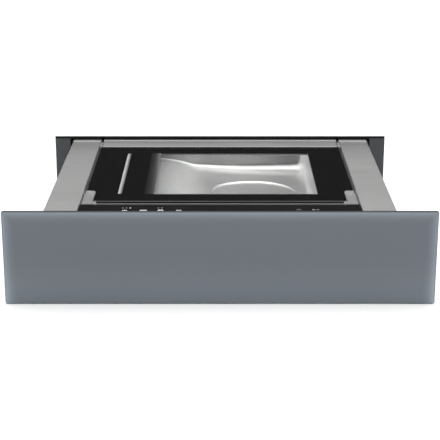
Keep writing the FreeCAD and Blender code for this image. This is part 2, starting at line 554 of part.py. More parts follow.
# raised ring that centres a jar
bead = new_body("ring_bead", listed=False)
sk = sketch(bead, "XZ")
poly(sk, [("Dims.ring_size - Dims.ring_width / 2", "Dims.floor_top - 0.6"), ("Dims.ring_size + Dims.ring_width / 2", "Dims.floor_top - 0.6"),
          ("Dims.ring_size + Dims.ring_width / 2", "Dims.floor_top"), ("Dims.ring_size + Dims.ring_width / 4", "Dims.floor_top + Dims.ring_rise"),
          ("Dims.ring_size - Dims.ring_width / 4", "Dims.floor_top + Dims.ring_rise"), ("Dims.ring_size - Dims.ring_width / 2", "Dims.floor_top")])
f = bead.newObject("PartDesign::Revolution", "ring_bead_turned")
f.Profile = sk
f.ReferenceAxis = ([o for o in bead.Origin.OriginFeatures if o.Role == "Z_Axis"][0], [""])
f.Angle = 360.0
doc.recompute()
bead.setExpression("Placement.Base.x", "Dims.ring_x")
bead.setExpression("Placement.Base.y", "Dims.ring_y")
shell = cut(join([plate_body, skin, trough[0]], "tray_blank"), join([hollow, trough[1]] + holes, "tray_hollows"), "tray_shell")
subpart(join([shell, bead], "chamber_tray"), "chamber_tray", True)

# silicone gasket around the well
GW = "Dims.gasket_width"
b = new_body("chamber_gasket", True)
pad(b, rect(sketch(b, "XY", RZ), f"{WL} - 1.5 - {GW}", f"{WR} + 1.5 + {GW}", f"{WF} - 1.5 - {GW}", f"{WB} + 1.5 + {GW}"), "Dims.gasket_high")
soften(b, "12", lambda e: along(e, "Z"))
pocket(b, rect(sketch(b, "XY", RZ), f"{WL} - 1.5", f"{WR} + 1.5", f"{WF} - 1.5", f"{WB} + 1.5"), "Dims.gasket_high")
soften(b, "6", lambda e: along(e, "Z") and e.BoundBox.XMax < val(f"{WR} + 2") and e.BoundBox.XMin > val(f"{WL} - 2")
       and e.BoundBox.YMax < val(f"{WB} + 2") and e.BoundBox.YMin > val(f"{WF} - 2"))
soften(b, "0.9", lambda e: near(e.BoundBox.ZMin, f"{RZ} + Dims.gasket_high"))

# perforated suction port with its hose spigot
b = new_body("suction_port", True)
pad(b, circle(sketch(b, "XY", "64"), "0", "0", "6"), "10")
pad(b, circle(sketch(b, "XY", "74"), "0", "0", "11.4"), "Dims.floor_top - 74")
pad(b, circle(sketch(b, "XY", "Dims.floor_top"), "0", "0", "16"), "1.5")
pocket(b, circle(sketch(b, "XY", "63"), "0", "0", "3.4"), "20")
pocket(b, circle(sketch(b, "XY", "79"), "0", "0", "8.2"), "4")
f = pocket(b, circle(sketch(b, "XY", "80"), "6", "0", "1.6"), "20")
ring_of(b, f, ([o for o in b.Origin.OriginFeatures if o.Role == "Z_Axis"][0], [""]), 8)
b.setExpression("Placement.Base.x", "Dims.port_x")
b.setExpression("Placement.Base.y", f"{OPEN} + Dims.port_y")

# ---------------------------------------------------------------- glass lid
LH, LF, LR = "Dims.lid_half", "Dims.lid_front", "Dims.lid_rear"


def lid_outline(sk, inset):
    x0, x1 = f"{LH} - {inset}", f"{LH} - Dims.notch_wide - {inset}"
    y0, y1, y2 = f"{LF} + {inset}", f"{LF} + Dims.notch_long + {inset}", f"{LR} - {inset}"
    return poly(sk, [(f"-({x1})", y0), (x1, y0), (x1, y1), (x0, y1), (x0, y2), (f"-({x0})", y2), (f"-({x0})", y1), (f"-({x1})", y1)])


b = new_body("lid_glass", True)
pad(b, lid_outline(sketch(b, "XY", "Dims.lid_top - Dims.lid_thick"), "0"), "Dims.lid_thick")
soften(b, "Dims.lid_corner", lambda e: along(e, "Z") and e.BoundBox.YMax < val(LR) - 1)
soften(b, "Dims.lid_edge", lambda e: near(e.BoundBox.ZMin, "Dims.lid_top") and e.BoundBox.YMin < val(LR) - 0.1, "Chamfer")

# printed border film under the glass, with the window and the slot over the sealing bar left clear
b = new_body("lid_film", True)
fz = "Dims.lid_top - Dims.lid_thick - Dims.film"
sk = lid_outline(sketch(b, "XY", fz), "0.6")
rect(sk, "Dims.window_left", "Dims.window_right", "Dims.window_front", "Dims.window_rear")
rect(sk, "Dims.slit_left", "Dims.slit_right", "Dims.slit_front", "Dims.slit_rear")
pad(b, sk, "Dims.film")
soften(b, "Dims.lid_corner", lambda e: along(e, "Z") and abs(e.BoundBox.XMin) > 175 and e.BoundBox.YMax < val(LR) - 2)

# hinge bar along the lid's rear edge, with solid ends bored for the pins
BF, BR, BL, LTOP = "Dims.bar_front", "Dims.bar_rear", "Dims.bar_low", "Dims.lid_top"
b = new_body("lid_hinge_bar", True)
pad(b, poly(sketch(b, "YZ", "-Dims.bar_half"), [
    ("380", "112.4"), (BF, "112.4"), (BF, BL), (f"{BF} + 3.5", BL), (f"{BF} + 3.5", f"{LTOP} - 3.3"), (f"{BR} - 3.5", f"{LTOP} - 3.3"),
    (f"{BR} - 3.5", BL), (BR, BL), (BR, LTOP), (BF, LTOP), (BF, fz), ("380", fz)]), "2 * Dims.bar_half")
for x0 in ("-Dims.bar_half", "Dims.bar_half - 14"):
    pad(b, rect(sketch(b, "YZ", x0), f"{BF} + 3.5", f"{BR} - 3.5", BL, f"{LTOP} - 3.3"), "14")
for x0 in ("-Dims.bar_half", "Dims.bar_half - 14"):
    pocket(b, circle(sketch(b, "YZ", x0), "Dims.hinge_y", "Dims.hinge_z", "Dims.pin_size / 2 + Dims.pin_clear"), "14")
soften(b, "2.2", lambda e: along(e, "X") and near(e.BoundBox.ZMax, LTOP) and near(e.BoundBox.YMax, BR))
soften(b, "0.6", lambda e: along(e, "X") and near(e.BoundBox.ZMax, LTOP) and near(e.BoundBox.YMax, BF))

# white silicone bar under the lid that the sealing bar presses against
b = new_body("counter_bar", True)
pad(b, rect(sketch(b, "XY", "Dims.counter_low"), "Dims.seal_x - Dims.counter_width / 2", "Dims.seal_x + Dims.counter_width / 2",
            "Dims.seal_front", "Dims.counter_rear"), f"({fz}) - Dims.counter_low")
soften(b, "0.8", lambda e: along(e, "Y") and near(e.BoundBox.ZMin, "Dims.counter_low"))

# hinge brackets on the rail covers, and the two pins fixed in them
plates, pins = [], []
for s in ("-1", "1"):
    near_x, far_x = ("-Dims.rail_inner", "-195.6") if s == "-1" else ("195.6", "Dims.rail_inner")
    plate = box(near_x, far_x, "399", "431", "98.5", "120.5")
    plates.append(cut(plate, rod(near_x, "Dims.hinge_y", "Dims.hinge_z", "Dims.pin_size / 2", f"({far_x}) - ({near_x})", "X"), "hinge_plate"))
    start = "-Dims.rail_inner" if s == "-1" else "181"
    pins.append(rod(start, "Dims.hinge_y", "Dims.hinge_z", "Dims.pin_size / 2", "Dims.rail_inner - 181", "X", "hinge_pin"))
group(plates, "hinge_brackets", True)
group(pins, "hinge_pins", True)

# ---------------------------------------------------------------- sealing bar, its heating strip and lifters
SX, SW = "Dims.seal_x", "Dims.seal_width / 2"
b = new_body("seal_bar", True)
pad(b, rect(sketch(b, "XY", "Dims.seal_low"), f"{SX} - {SW}", f"{SX} + {SW}", "Dims.seal_front", "Dims.seal_rear"), "Dims.seal_high - Dims.seal_low")
soften(b, "1", lambda e: along(e, "Y") and near(e.BoundBox.ZMin, "Dims.seal_high"))
sk = sketch(b, "XY", "76")
for y in ("155", "315"):
    circle(sk, SX, y, "2.5")
pad(b, sk, "Dims.seal_low - 76")
b = new_body("seal_element", True)
pad(b, rect(sketch(b, "XY", "Dims.seal_high"), f"{SX} - 4", f"{SX} + 4", "Dims.seal_front + 6", "Dims.seal_rear - 6"), "Dims.element_thick")
soften(b, "0.3", lambda e: along(e, "Y") and near(e.BoundBox.ZMin, "Dims.seal_high + Dims.element_thick"))
lifters = []
for y in ("155", "315"):
    can = join([rod(SX, y, "70", "10", f"Dims.trough_floor - {TS} - 70"), rod(SX, y, f"Dims.trough_floor - {TS}", "5", "2.4"),
                rod(SX, y, "62", "4", "8")], "lifter")
    lifters.append(cut(can, rod(SX, y, "73", "2.6", "30"), "lifter_bored"))
group(lifters, "seal_actuators", True)

# ---------------------------------------------------------------- control panel
b = new_body("control_glass", True)
pad(b, rect(sketch(b, "XY", "Dims.panel_top - Dims.panel_pane"), f"-{TH}", TH, "Dims.panel_front", "Dims.panel_rear"), "Dims.panel_pane")
soften(b, "0.5", lambda e: near(e.BoundBox.ZMin, "Dims.panel_top"), "Chamfer")
b = new_body("control_carrier", True)
pz = "Dims.panel_top - Dims.panel_pane"
pad(b, rect(sketch(b, "XY", "98"), "-196", "196", "Dims.panel_front + 1.5", "Dims.panel_rear - 1.5"), f"{pz} - 98")
pocket(b, rect(sketch(b, "XY", "100"), "-194", "194", "Dims.panel_front + 3.5", "Dims.panel_rear - 3.5"), "30")
b = new_body("touch_board", True)
pad(b, rect(sketch(b, "XY", "106"), "-186", "186", "27", "73"), "1.6")
f = pad(b, circle(sketch(b, "XY", "107.6"), "-134", "60", "5"), f"{pz} - 107.6")
row_of(b, f, "X", "75", 4)
pad(b, rect(sketch(b, "XY", "107.6"), "100", "150", "52", "66"), "4")
pad(b, rect(sketch(b, "XY", "107.6"), "-60", "-20", "34", "56"), "2.5")
f = pad(b, circle(sketch(b, "XY", "100"), "-170", "50", "3"), "6")
row_of(b, f, "X", "340", 3)

# ---------------------------------------------------------------- inside the drawer, under and behind the chamber
# folded cover: the gutter that the hinge bar turns in, and the lid of the rear compartment
b = new_body("rear_cover", True)
pad(b, poly(sketch(b, "YZ", "-195.4"), [("387.2", "96"), ("433.5", "96"), ("433.5", "120.8"), (f"{DL} - {DS} - 1.2", "120.8"), (f"{DL} - {DS} - 1.2", "114"),
                                        (f"{DL} - {DS}", "114"), (f"{DL} - {DS}", "122"),
                                        ("430.3", "122"), ("430.3", "120.8"), ("432.3", "120.8"), ("432.3", "97.2"), ("388.4", "97.2"), ("388.4", "107"),
                                        ("387.2", "107")]), "390.8")
f = pocket(b, rect(sketch(b, "XY", "120"), "-180", "-175", "470", "520"), "3")
row_of(b, f, "X", "240", 20)

PY, PZ, PR = "Dims.pump_y", "Dims.pump_z", "Dims.pump_size / 2"
# pump head: round body with cooling ribs, an inlet spigot and a foot
b = new_body("vacuum_pump", True)
turn = [("-190", "0"), ("-190", f"{PR} - 5")]
for i in range(6):
    r0, r1 = f"{-186 + 13 * i}", f"{-181 + 13 * i}"
    turn += [(r0, f"{PR} - 5"), (r0, PR), (r1, PR), (r1, f"{PR} - 5")]
turn += [("-110", f"{PR} - 5"), ("-110", "0")]
sk = poly(sketch(b, "XZ"), turn)
f = b.newObject("PartDesign::Revolution", "pump_turned")
f.Profile = sk
f.ReferenceAxis = ([o for o in b.Origin.OriginFeatures if o.Role == "X_Axis"][0], [""])
f.Angle = 360.0
doc.recompute()
pad(b, rect(sketch(b, "XY", "14 - Dims.pump_z"), "-184", "-122", "-26", "26"), "12")
pad(b, circle(sketch(b, "XZ", "-49"), "-150", "-26", "6"), "26")
b.setExpression("Placement.Base.y", f"{OPEN} + {PY}")
b.setExpression("Placement.Base.z", PZ)
motor = join([rod("-110", PY, PZ, f"{PR} - 3", "120", "X"), rod("-110", PY, PZ, PR, "6", "X"), rod("4", PY, PZ, PR, "6", "X"),
              rod("10", PY, PZ, "14", "6", "X"), box("-96", "-6", f"{PY} - 26", f"{PY} + 26", "14", "22")], "pump_motor")
subpart(motor, "pump_motor", True)
group([rod(x, y, ZF, "8", f"14 - ({ZF})") for x in ("-176", "-130", "-86", "-16") for y in (f"{PY} - 16", f"{PY} + 16")], "pump_mounts", True)

# ring transformer for the heating strip, with its clamping dish and bolt
TX, TY, TR = "Dims.transformer_x", "Dims.transformer_y", "Dims.transformer_size / 2"
ring = cut(rod(TX, TY, ZF, TR, "40"), rod(TX, TY, "0", "16", "60"), "winding")
dish = join([ring, rod(TX, TY, f"{ZF} + 40", "26", "1.5"), rod(TX, TY, ZF, "3", "46"), rod(TX, TY, f"{ZF} + 41.5", "6.5", "4")], "transformer")
subpart(dish, "transformer", True)

# power board on standoffs, with relays, heat sink and filter parts
b = new_body("power_board", True)
pad(b, rect(sketch(b, "XY", "16"), "-200", "-45", "115", "262"), "1.6")
sk = sketch(b, "XY", ZF)
for px in ("-192", "-53"):
    for py in ("123", "254"):
        circle(sk, px, py, "4")
pad(b, sk, f"16 - ({ZF})")
for x0, x1, y0, y1, h in (("-190", "-160", "140", "170", "16"), ("-190", "-160", "176", "206", "16"), ("-140", "-100", "130", "160", "28"),
                          ("-90", "-60", "135", "185", "20"), ("-140", "-80", "200", "250", "9")):
    pad(b, rect(sketch(b, "XY", "17.6"), x0, x1, y0, y1), h)
f = pad(b, rect(sketch(b, "XY", "17.6"), "-150", "-148.5", "172", "192"), "30")
row_of(b, f, "X", "48", 9)
pad(b, circle(sketch(b, "XY", "17.6"), "-176", "228", "11"), "26")

# valve block with two solenoid coils
b = new_body("valve_block", True)
pad(b, rect(sketch(b, "XY", ZF), "66", "126", "330", "366"), "34")
soften(b, "2", lambda e: along(e, "Z"))
f = pad(b, circle(sketch(b, "XY", f"{ZF} + 34"), "82", "348", "11"), "26")
row_of(b, f, "X", "28", 2)
pad(b, circle(sketch(b, "XZ", "318"), "110", "34", "5"), "60")

# vacuum hoses: chamber to valve block, and valve block to pump, straight runs joined by arcs


def tube(points, bend, r_out, r_in):
    """A hose through the given points, its corners turned with one radius."""
    edges_, start = [], points[0]
    for a, c, d in zip(points, points[1:], points[2:]):
        u, v = (c - a).normalize(), (d - c).normalize()
        half = u.getAngle(v) / 2
        cutback = bend * math.tan(half)
        p, q = c - u * cutback, c + v * cutback
        middle = c + ((v - u).normalize()) * (bend / math.cos(half) - bend)
        edges_ += [Part.LineSegment(start, p).toShape(), Part.Arc(p, middle, q).toShape()]
        start = q
    edges_.append(Part.LineSegment(start, points[-1]).toShape())
    path = Part.Wire(edges_)
    tangent = (points[1] - points[0]).normalize()
    made = []
    for r in (r_out, r_in):
        ring_ = Part.Wire(Part.Circle(points[0], tangent, r).toShape())
        made.append(path.makePipeShell([ring_], True, False))
    hose = made[0].cut(made[1])
    expected = math.pi * (r_out**2 - r_in**2) * path.Length
    if abs(hose.Volume - expected) > 0.02 * expected:
        raise RuntimeError("hose volume is off")
    return hose


ro, ri = val("Dims.hose_size / 2"), val("Dims.hose_bore / 2")
hose_a = tube([Vector(110, 140, 64), Vector(110, 140, 34), Vector(110, 318, 34)], 22.0, ro, ri)
hose_b = tube([Vector(110, 378, 34), Vector(110, 408, 34), Vector(-150, 408, 34), Vector(-150, 440, 34)], 22.0, ro, ri)
free_shape("vacuum_hose", Part.makeCompound([hose_a, hose_b]), True)

# cooling fan: square frame with its motor mount, and the rotor
FX, FZ, FS = "Dims.fan_x", "Dims.fan_z", "Dims.fan_size / 2"
frame = cut(box(f"{FX} - {FS}", f"{FX} + {FS}", "513", "533", f"{FZ} - {FS}", f"{FZ} + {FS}"), rod(FX, "512", FZ, "Dims.fan_hole / 2", "22", "Y"), "fan_ring")
spokes = [box(f"{FX} - {FS} + 1", f"{FX} + {FS} - 1", "530.5", "533", f"{FZ} - 1.5", f"{FZ} + 1.5"),
          box(f"{FX} - 1.5", f"{FX} + 1.5", "530.5", "533", f"{FZ} - {FS} + 1", f"{FZ} + {FS} - 1"),
          rod(FX, "530", FZ, "13", "3", "Y"), rod(FX, "519", FZ, "2", "12", "Y")]
subpart(join([frame] + spokes, "fan_frame"), "fan_frame", True)
hub = Part.makeCylinder(13, 15, Vector(0, 0, 0), Vector(0, 1, 0)).cut(Part.makeCylinder(2.1, 13, Vector(0, 3, 0), Vector(0, 1, 0)))
blades = []
for i in range(7):
    tilt = math.radians(38)
    d = Vector(math.sin(tilt), math.cos(tilt), 0)
    n = Vector(math.cos(tilt), -math.sin(tilt), 0) * 0.7
    mid = Vector(0, 7.5, 12)
    corner = [mid - d * 8 - n, mid + d * 8 - n, mid + d * 8 + n, mid - d * 8 + n]
    blade = Part.Face(Part.makePolygon(corner + corner[:1])).extrude(Vector(0, 0, val("Dims.rotor_size / 2") - 12))
    blade.rotate(Vector(0, 0, 0), Vector(0, 1, 0), 360.0 * i / 7)
    blades.append(blade)
rotor = hub.fuse(blades).removeSplitter()
o = free_shape("fan_rotor", rotor, True)
o.setExpression("Placement.Base.x", FX)
o.setExpression("Placement.Base.y", f"{OPEN} + 514")
o.setExpression("Placement.Base.z", FZ)


# ---------------------------------------------------------------- screws
def screw(at, out, length):
    """A pan-head screw: its head stands on a plate at this point, its shank runs inwards."""
    r, rh, h = val("Dims.screw_shank / 2"), val("Dims.screw_head / 2"), val("Dims.screw_rise")
    profile = Part.makePolygon([Vector(0, 0, -length), Vector(r, 0, -length), Vector(r, 0, 0), Vector(rh, 0, 0), Vector(rh, 0, h * 0.45),
                                Vector(rh * 0.8, 0, h * 0.85), Vector(rh * 0.5, 0, h), Vector(0, 0, h), Vector(0, 0, -length)])
    body = Part.Face(profile).revolve(Vector(0, 0, 0), Vector(0, 0, 1), 360)
    for k in range(2):
        bar = Part.makeBox(rh * 1.1, 0.7, h, Vector(-rh * 0.55, -0.35, h * 0.4))
        bar.rotate(Vector(0, 0, 0), Vector(0, 0, 1), 90 * k + 20)
        body = body.cut(bar)
    body.Placement = Placement(at, Rotation(Vector(0, 0, 1), out))
    return body


hw = val(HW)
free_shape("carcass_screws", Part.makeCompound([
    screw(Vector(s * hw, val(y), val(z)), Vector(s, 0, 0), 4.0) for s in (-1, 1) for y, z in BRACKET_SCREWS]))
dh = val(DH)
free_shape("drawer_screws", Part.makeCompound([
    screw(Vector(s * dh, y, z), Vector(s, 0, 0), 5.0) for s in (-1, 1) for y in (32.0, 52.0) for z in (44.0, 90.0)]), True)

# ---------------------------------------------------------------- check and write
doc.recompute()
bad = [f"{o.Name}: {o.State} {o.getStatusString()}" for o in doc.Objects if "Invalid" in o.State or "Error" in o.State]
if bad:
    raise RuntimeError("failed features: " + "; ".join(bad))
labels = [o.Label for o in SUBPARTS]
if len(set(labels)) != len(labels) or len(labels) > 60:
    raise RuntimeError(f"{len(labels)} sub-parts, or a name used twice")
wrong = [o.Label for o in SUBPARTS if o.Shape.isNull() or not o.Shape.isValid() or not o.Shape.Solids or o.Shape.Volume <= 0]
if wrong:
    raise RuntimeError(f"no valid solid in {wrong}")
os.makedirs("parts", exist_ok=True)
for o in SUBPARTS:
    o.Shape.exportStep(f"parts/{o.Label}.step")
    bb = o.Shape.BoundBox
    print(f"{o.Label:20s} solids {len(o.Shape.Solids):2d}  X {bb.XMin:8.1f} {bb.XMax:8.1f}  Y {bb.YMin:8.1f} {bb.YMax:8.1f}  Z {bb.ZMin:7.1f} {bb.ZMax:7.1f}")
print(len(SUBPARTS), "sub-parts")
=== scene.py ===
import math

import bmesh
import bpy
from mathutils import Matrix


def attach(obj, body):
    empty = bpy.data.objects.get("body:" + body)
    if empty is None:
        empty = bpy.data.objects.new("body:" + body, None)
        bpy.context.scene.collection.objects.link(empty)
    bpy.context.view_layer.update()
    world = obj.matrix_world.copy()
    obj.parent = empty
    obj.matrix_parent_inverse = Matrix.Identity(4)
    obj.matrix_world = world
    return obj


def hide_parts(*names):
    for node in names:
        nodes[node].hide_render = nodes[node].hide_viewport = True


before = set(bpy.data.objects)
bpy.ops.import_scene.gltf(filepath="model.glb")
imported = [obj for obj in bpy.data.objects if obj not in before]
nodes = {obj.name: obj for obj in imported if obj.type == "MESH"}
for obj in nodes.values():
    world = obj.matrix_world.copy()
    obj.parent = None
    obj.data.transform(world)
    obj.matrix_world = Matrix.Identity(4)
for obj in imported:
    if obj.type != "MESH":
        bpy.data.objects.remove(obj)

bpy.context.view_layer.update()
scene = bpy.context.scene
scene.view_settings.view_transform = "Standard"
scene.view_settings.look = "None"


def row(x, y, z):
    """Millimetres on the drawer (y from the front of the glass) to metres in the row frame."""
    return (x / 1000.0, (y - 707.0) / 1000.0, z / 1000.0)


# ---------------------------------------------------------------- camera, floor and light
cam = bpy.data.cameras.new("view")
cam.sensor_width = 36.0
cam.lens = 105.26
cam.clip_end = 60.0
cam_obj = bpy.data.objects.new("view", cam)
cam_obj.location = (0.0, -2.3745, 0.6646)
cam_obj.rotation_euler = (math.radians(72.0), 0.0, 0.0)
scene.collection.objects.link(cam_obj)
scene.camera = cam_obj

floor_mesh = bpy.data.meshes.new("studio_floor")
floor_mesh.from_pydata([(-9, -9, -0.0004), (9, -9, -0.0004), (9, 9, -0.0004), (-9, 9, -0.0004)], [], [(0, 1, 2, 3)])
floor = bpy.data.objects.new("studio_floor", floor_mesh)
scene.collection.objects.link(floor)


def area(name, size, loc, aim, watts, colour=(1, 1, 1)):
    lamp = bpy.data.lights.new(name, "AREA")
    lamp.shape = "RECTANGLE"
    lamp.size, lamp.size_y = size
    lamp.energy = watts
    lamp.color = colour
    o = bpy.data.objects.new(name, lamp)
    o.location = loc
    d = [aim[i] - loc[i] for i in range(3)]
    yaw = math.atan2(d[0], -d[1]) if abs(d[0]) + abs(d[1]) > 1e-6 else 0.0
    pitch = math.atan2(math.hypot(d[0], d[1]), -d[2])
    o.rotation_euler = (pitch, 0.0, yaw + math.pi)
    scene.collection.objects.link(o)
    return o


area("softbox_over", (2.8, 2.2), (0.0, -0.45, 2.4), (0.0, -0.45, 0.0), 26.0)
area("softbox_front", (2.2, 1.2), (0.0, -2.8, 2.0), (0.0, -0.5, 0.1), 5.0)

world = bpy.data.worlds.new("studio")
scene.world = world
world.use_nodes = True
wt = world.node_tree
wt.nodes.clear()
w_out = wt.nodes.new("ShaderNodeOutputWorld")
w_bg = wt.nodes.new("ShaderNodeBackground")
w_tc = wt.nodes.new("ShaderNodeTexCoord")
w_sep = wt.nodes.new("ShaderNodeSeparateXYZ")
w_ramp = wt.nodes.new("ShaderNodeValToRGB")
wt.links.new(w_tc.outputs["Generated"], w_sep.inputs[0])
wt.links.new(w_sep.outputs["Z"], w_ramp.inputs[0])
wt.links.new(w_ramp.outputs[0], w_bg.inputs["Color"])
wt.links.new(w_bg.outputs[0], w_out.inputs["Surface"])
w_ramp.color_ramp.interpolation = "EASE"
stops = [(0.0, 0.012), (0.29, 0.012), (0.37, 0.17), (0.50, 0.75), (0.72, 1.0), (1.0, 1.0)]
ramp = w_ramp.color_ramp
while len(ramp.elements) < len(stops):
    ramp.elements.new(0.5)
for e, (p, v) in zip(ramp.elements, stops):
    e.position = p
    e.color = (v, v, v, 1)
w_bg.inputs["Strength"].default_value = 1.55


# ---------------------------------------------------------------- material building blocks
class Finish:
    """A node material: named helpers keep the recipes below short."""

    def __init__(self, name):
        self.mat = bpy.data.materials.new(name)
        self.mat.use_nodes = True
        self.nt = self.mat.node_tree
        self.nt.nodes.clear()
        self.out = self.nt.nodes.new("ShaderNodeOutputMaterial")
        self.bsdf = self.nt.nodes.new("ShaderNodeBsdfPrincipled")
        self.nt.links.new(self.bsdf.outputs[0], self.out.inputs["Surface"])
        self.coord = self.nt.nodes.new("ShaderNodeTexCoord").outputs["Object"]

    def set(self, **values):
        for key, value in values.items():
            s = self.bsdf.inputs[key.replace("_", " ")]
            if isinstance(value, bpy.types.NodeSocket):
                self.nt.links.new(value, s)
            else:
                s.default_value = (*value, 1.0) if isinstance(value, tuple) and len(value) == 3 and s.type == "RGBA" else value
        return self

    def link(self, value, socket):
        if isinstance(value, bpy.types.NodeSocket):
            self.nt.links.new(value, socket)
        elif socket.type == "RGBA" and len(value) == 3:
            socket.default_value = (*value, 1.0)
        else:
            socket.default_value = value

    def math(self, op, a, b=0.0, clamp=False, c=0.0):
        n = self.nt.nodes.new("ShaderNodeMath")
        n.operation = op
        n.use_clamp = clamp
        self.link(a, n.inputs[0])
        self.link(b, n.inputs[1])
        if op in ("MULTIPLY_ADD", "SMOOTH_MIN", "SMOOTH_MAX", "COMPARE", "WRAP"):
            self.link(c, n.inputs[2])
        return n.outputs[0]

    def scaled(self, scale, turn=(0, 0, 0), move=(0, 0, 0), vector=None):
        n = self.nt.nodes.new("ShaderNodeMapping")
        self.nt.links.new(vector or self.coord, n.inputs["Vector"])
        n.inputs["Scale"].default_value = scale
        n.inputs["Rotation"].default_value = turn
        n.inputs["Location"].default_value = move
        return n.outputs[0]

    def noise(self, scale, detail=2.0, rough=0.5, vector=None, stretch=None, move=(0, 0, 0)):
        n = self.nt.nodes.new("ShaderNodeTexNoise")
        n.noise_dimensions = "3D"
        v = vector or self.coord
        if stretch or move != (0, 0, 0):
            v = self.scaled(stretch or (1, 1, 1), vector=v, move=move)
        self.nt.links.new(v, n.inputs["Vector"])
        n.inputs["Scale"].default_value = scale
        n.inputs["Detail"].default_value = detail
        n.inputs["Roughness"].default_value = rough
        return n.outputs["Fac"]

    def voronoi(self, scale, feature="F1", out="Color", vector=None, stretch=None, rand=1.0):
        n = self.nt.nodes.new("ShaderNodeTexVoronoi")
        n.feature = feature
        v = vector or self.coord
        if stretch:
            v = self.scaled(stretch, vector=v)
        self.nt.links.new(v, n.inputs["Vector"])
        n.inputs["Scale"].default_value = scale
        n.inputs["Randomness"].default_value = rand
        return n.outputs[out]

    def xyz(self, vector=None):
        n = self.nt.nodes.new("ShaderNodeSeparateXYZ")
        self.nt.links.new(vector or self.coord, n.inputs[0])
        return n.outputs[0], n.outputs[1], n.outputs[2]

    def normal(self):
        n = self.nt.nodes.new("ShaderNodeNewGeometry")
        return self.xyz(n.outputs["Normal"])

    def remap(self, value, a, b, c=0.0, d=1.0, smooth=False):
        n = self.nt.nodes.new("ShaderNodeMapRange")
        n.interpolation_type = "SMOOTHSTEP" if smooth else "LINEAR"
        n.clamp = True
        self.link(value, n.inputs["Value"])
        for key, v in (("From Min", a), ("From Max", b), ("To Min", c), ("To Max", d)):
            self.link(v, n.inputs[key])
        return n.outputs["Result"]

    def mix(self, fac, a, b, how="MIX"):
        n = self.nt.nodes.new("ShaderNodeMix")
        n.data_type = "RGBA"
        n.blend_type = how
        n.clamp_factor = True
        self.link(fac, n.inputs[0])
        self.link(a, n.inputs[6])
        self.link(b, n.inputs[7])
        return n.outputs[2]

    def blend(self, fac, a, b):
        n = self.nt.nodes.new("ShaderNodeMix")
        n.data_type = "FLOAT"
        n.clamp_factor = True
        self.link(fac, n.inputs[0])
        self.link(a, n.inputs[2])
        self.link(b, n.inputs[3])
        return n.outputs[0]

    def grey(self, value, tint=(1, 1, 1)):
        """A grey value times a tint, as a colour."""
        n = self.nt.nodes.new("ShaderNodeCombineColor")
        for i in range(3):
            self.link(self.math("MULTIPLY", value, tint[i]), n.inputs[i])
        return n.outputs[0]

    def bump(self, height, distance, strength=1.0, under=None):
        n = self.nt.nodes.new("ShaderNodeBump")
        n.inputs["Strength"].default_value = strength
        n.inputs["Distance"].default_value = distance
        self.nt.links.new(height, n.inputs["Height"])
        if under is not None:
            self.nt.links.new(under, n.inputs["Normal"])
        self.nt.links.new(n.outputs[0], self.bsdf.inputs["Normal"])
        return n.outputs[0]


def brushed(name, base, rough, along="X", streak=0.05, bump=0.00003, tint=(1.0, 1.0, 0.992), spread=0.07, coarse=700.0):
    """Brushed sheet: fine grooves run along one axis; faces that look along that axis get grooves across it."""
    f = Finish(name)
    long_x, long_y = (0.006, 1.0, 1.0), (1.0, 0.006, 1.0)
    first, second = (long_x, long_y) if along == "X" else (long_y, long_x)
    nx, ny, nz = f.normal()
    facing = f.remap(f.math("ABSOLUTE", nx if along == "X" else ny), 0.6, 0.8)

    def lines(scale, detail):
        a = f.noise(scale, detail, 0.6, stretch=first)
        b = f.noise(scale, detail, 0.6, stretch=second)
        return f.blend(facing, a, b)

    wide, fine = lines(coarse, 3.0), lines(coarse * 4.0, 2.0)
    cloud = f.noise(9.0, 3.0, 0.55)
    both = f.math("ADD", f.math("MULTIPLY", wide, 0.55), f.math("MULTIPLY", fine, 0.45))
    level = f.math("ADD", f.remap(both, 0.3, 0.7, base - streak, base + streak), f.remap(cloud, 0.3, 0.7, -0.005, 0.005))
    f.set(Base_Color=f.grey(level, tint), Metallic=1.0,
          Roughness=f.math("ADD", f.remap(both, 0.3, 0.7, rough - spread / 2, rough + spread / 2), f.remap(cloud, 0.3, 0.7, -0.006, 0.006)))
    f.bump(both, bump, 1.0)
    return f


def galvanised(name, base=0.56, rough=0.42):
    f = Finish(name)
    warp = f.nt.nodes.new("ShaderNodeVectorMath")
    warp.operation = "MULTIPLY_ADD"
    wander = f.nt.nodes.new("ShaderNodeTexNoise")
    f.nt.links.new(f.coord, wander.inputs["Vector"])
    wander.inputs["Scale"].default_value = 260.0
    f.nt.links.new(wander.outputs["Color"], warp.inputs[0])
    warp.inputs[1].default_value = (0.006, 0.006, 0.006)
    f.nt.links.new(f.coord, warp.inputs[2])
    cells = f.voronoi(120.0, vector=warp.outputs[0])
    cell = f.xyz(cells)[0]
    grain = f.noise(1400.0, 3.0, 0.6)
    cloud = f.noise(6.0, 4.0, 0.6)
    level = f.math("ADD", f.remap(cell, 0, 1, base - 0.055, base + 0.055), f.remap(grain, 0.3, 0.7, -0.02, 0.02))
    level = f.math("ADD", level, f.remap(cloud, 0.3, 0.7, -0.025, 0.025))
    f.set(Base_Color=f.grey(level, (0.985, 1.0, 1.01)), Metallic=0.92,
          Roughness=f.math("ADD", f.remap(cell, 0, 1, rough + 0.08, rough - 0.08), f.remap(cloud, 0.3, 0.7, -0.04, 0.04)))
    f.bump(grain, 0.00002, 0.7)
    return f


def plastic(name, colour, rough=0.5, grain=1600.0, height=0.00004, vary=0.25):
    f = Finish(name)
    fine = f.noise(grain, 2.0, 0.6)
    cloud = f.noise(14.0, 3.0, 0.6)
    shade = f.remap(cloud, 0.3, 0.7, 1.0 - vary / 2, 1.0 + vary / 2)
    f.set(Base_Color=f.grey(shade, colour), Roughness=f.remap(fine, 0.3, 0.7, rough - 0.07, rough + 0.07))
    f.bump(fine, height, 0.8)
    return f


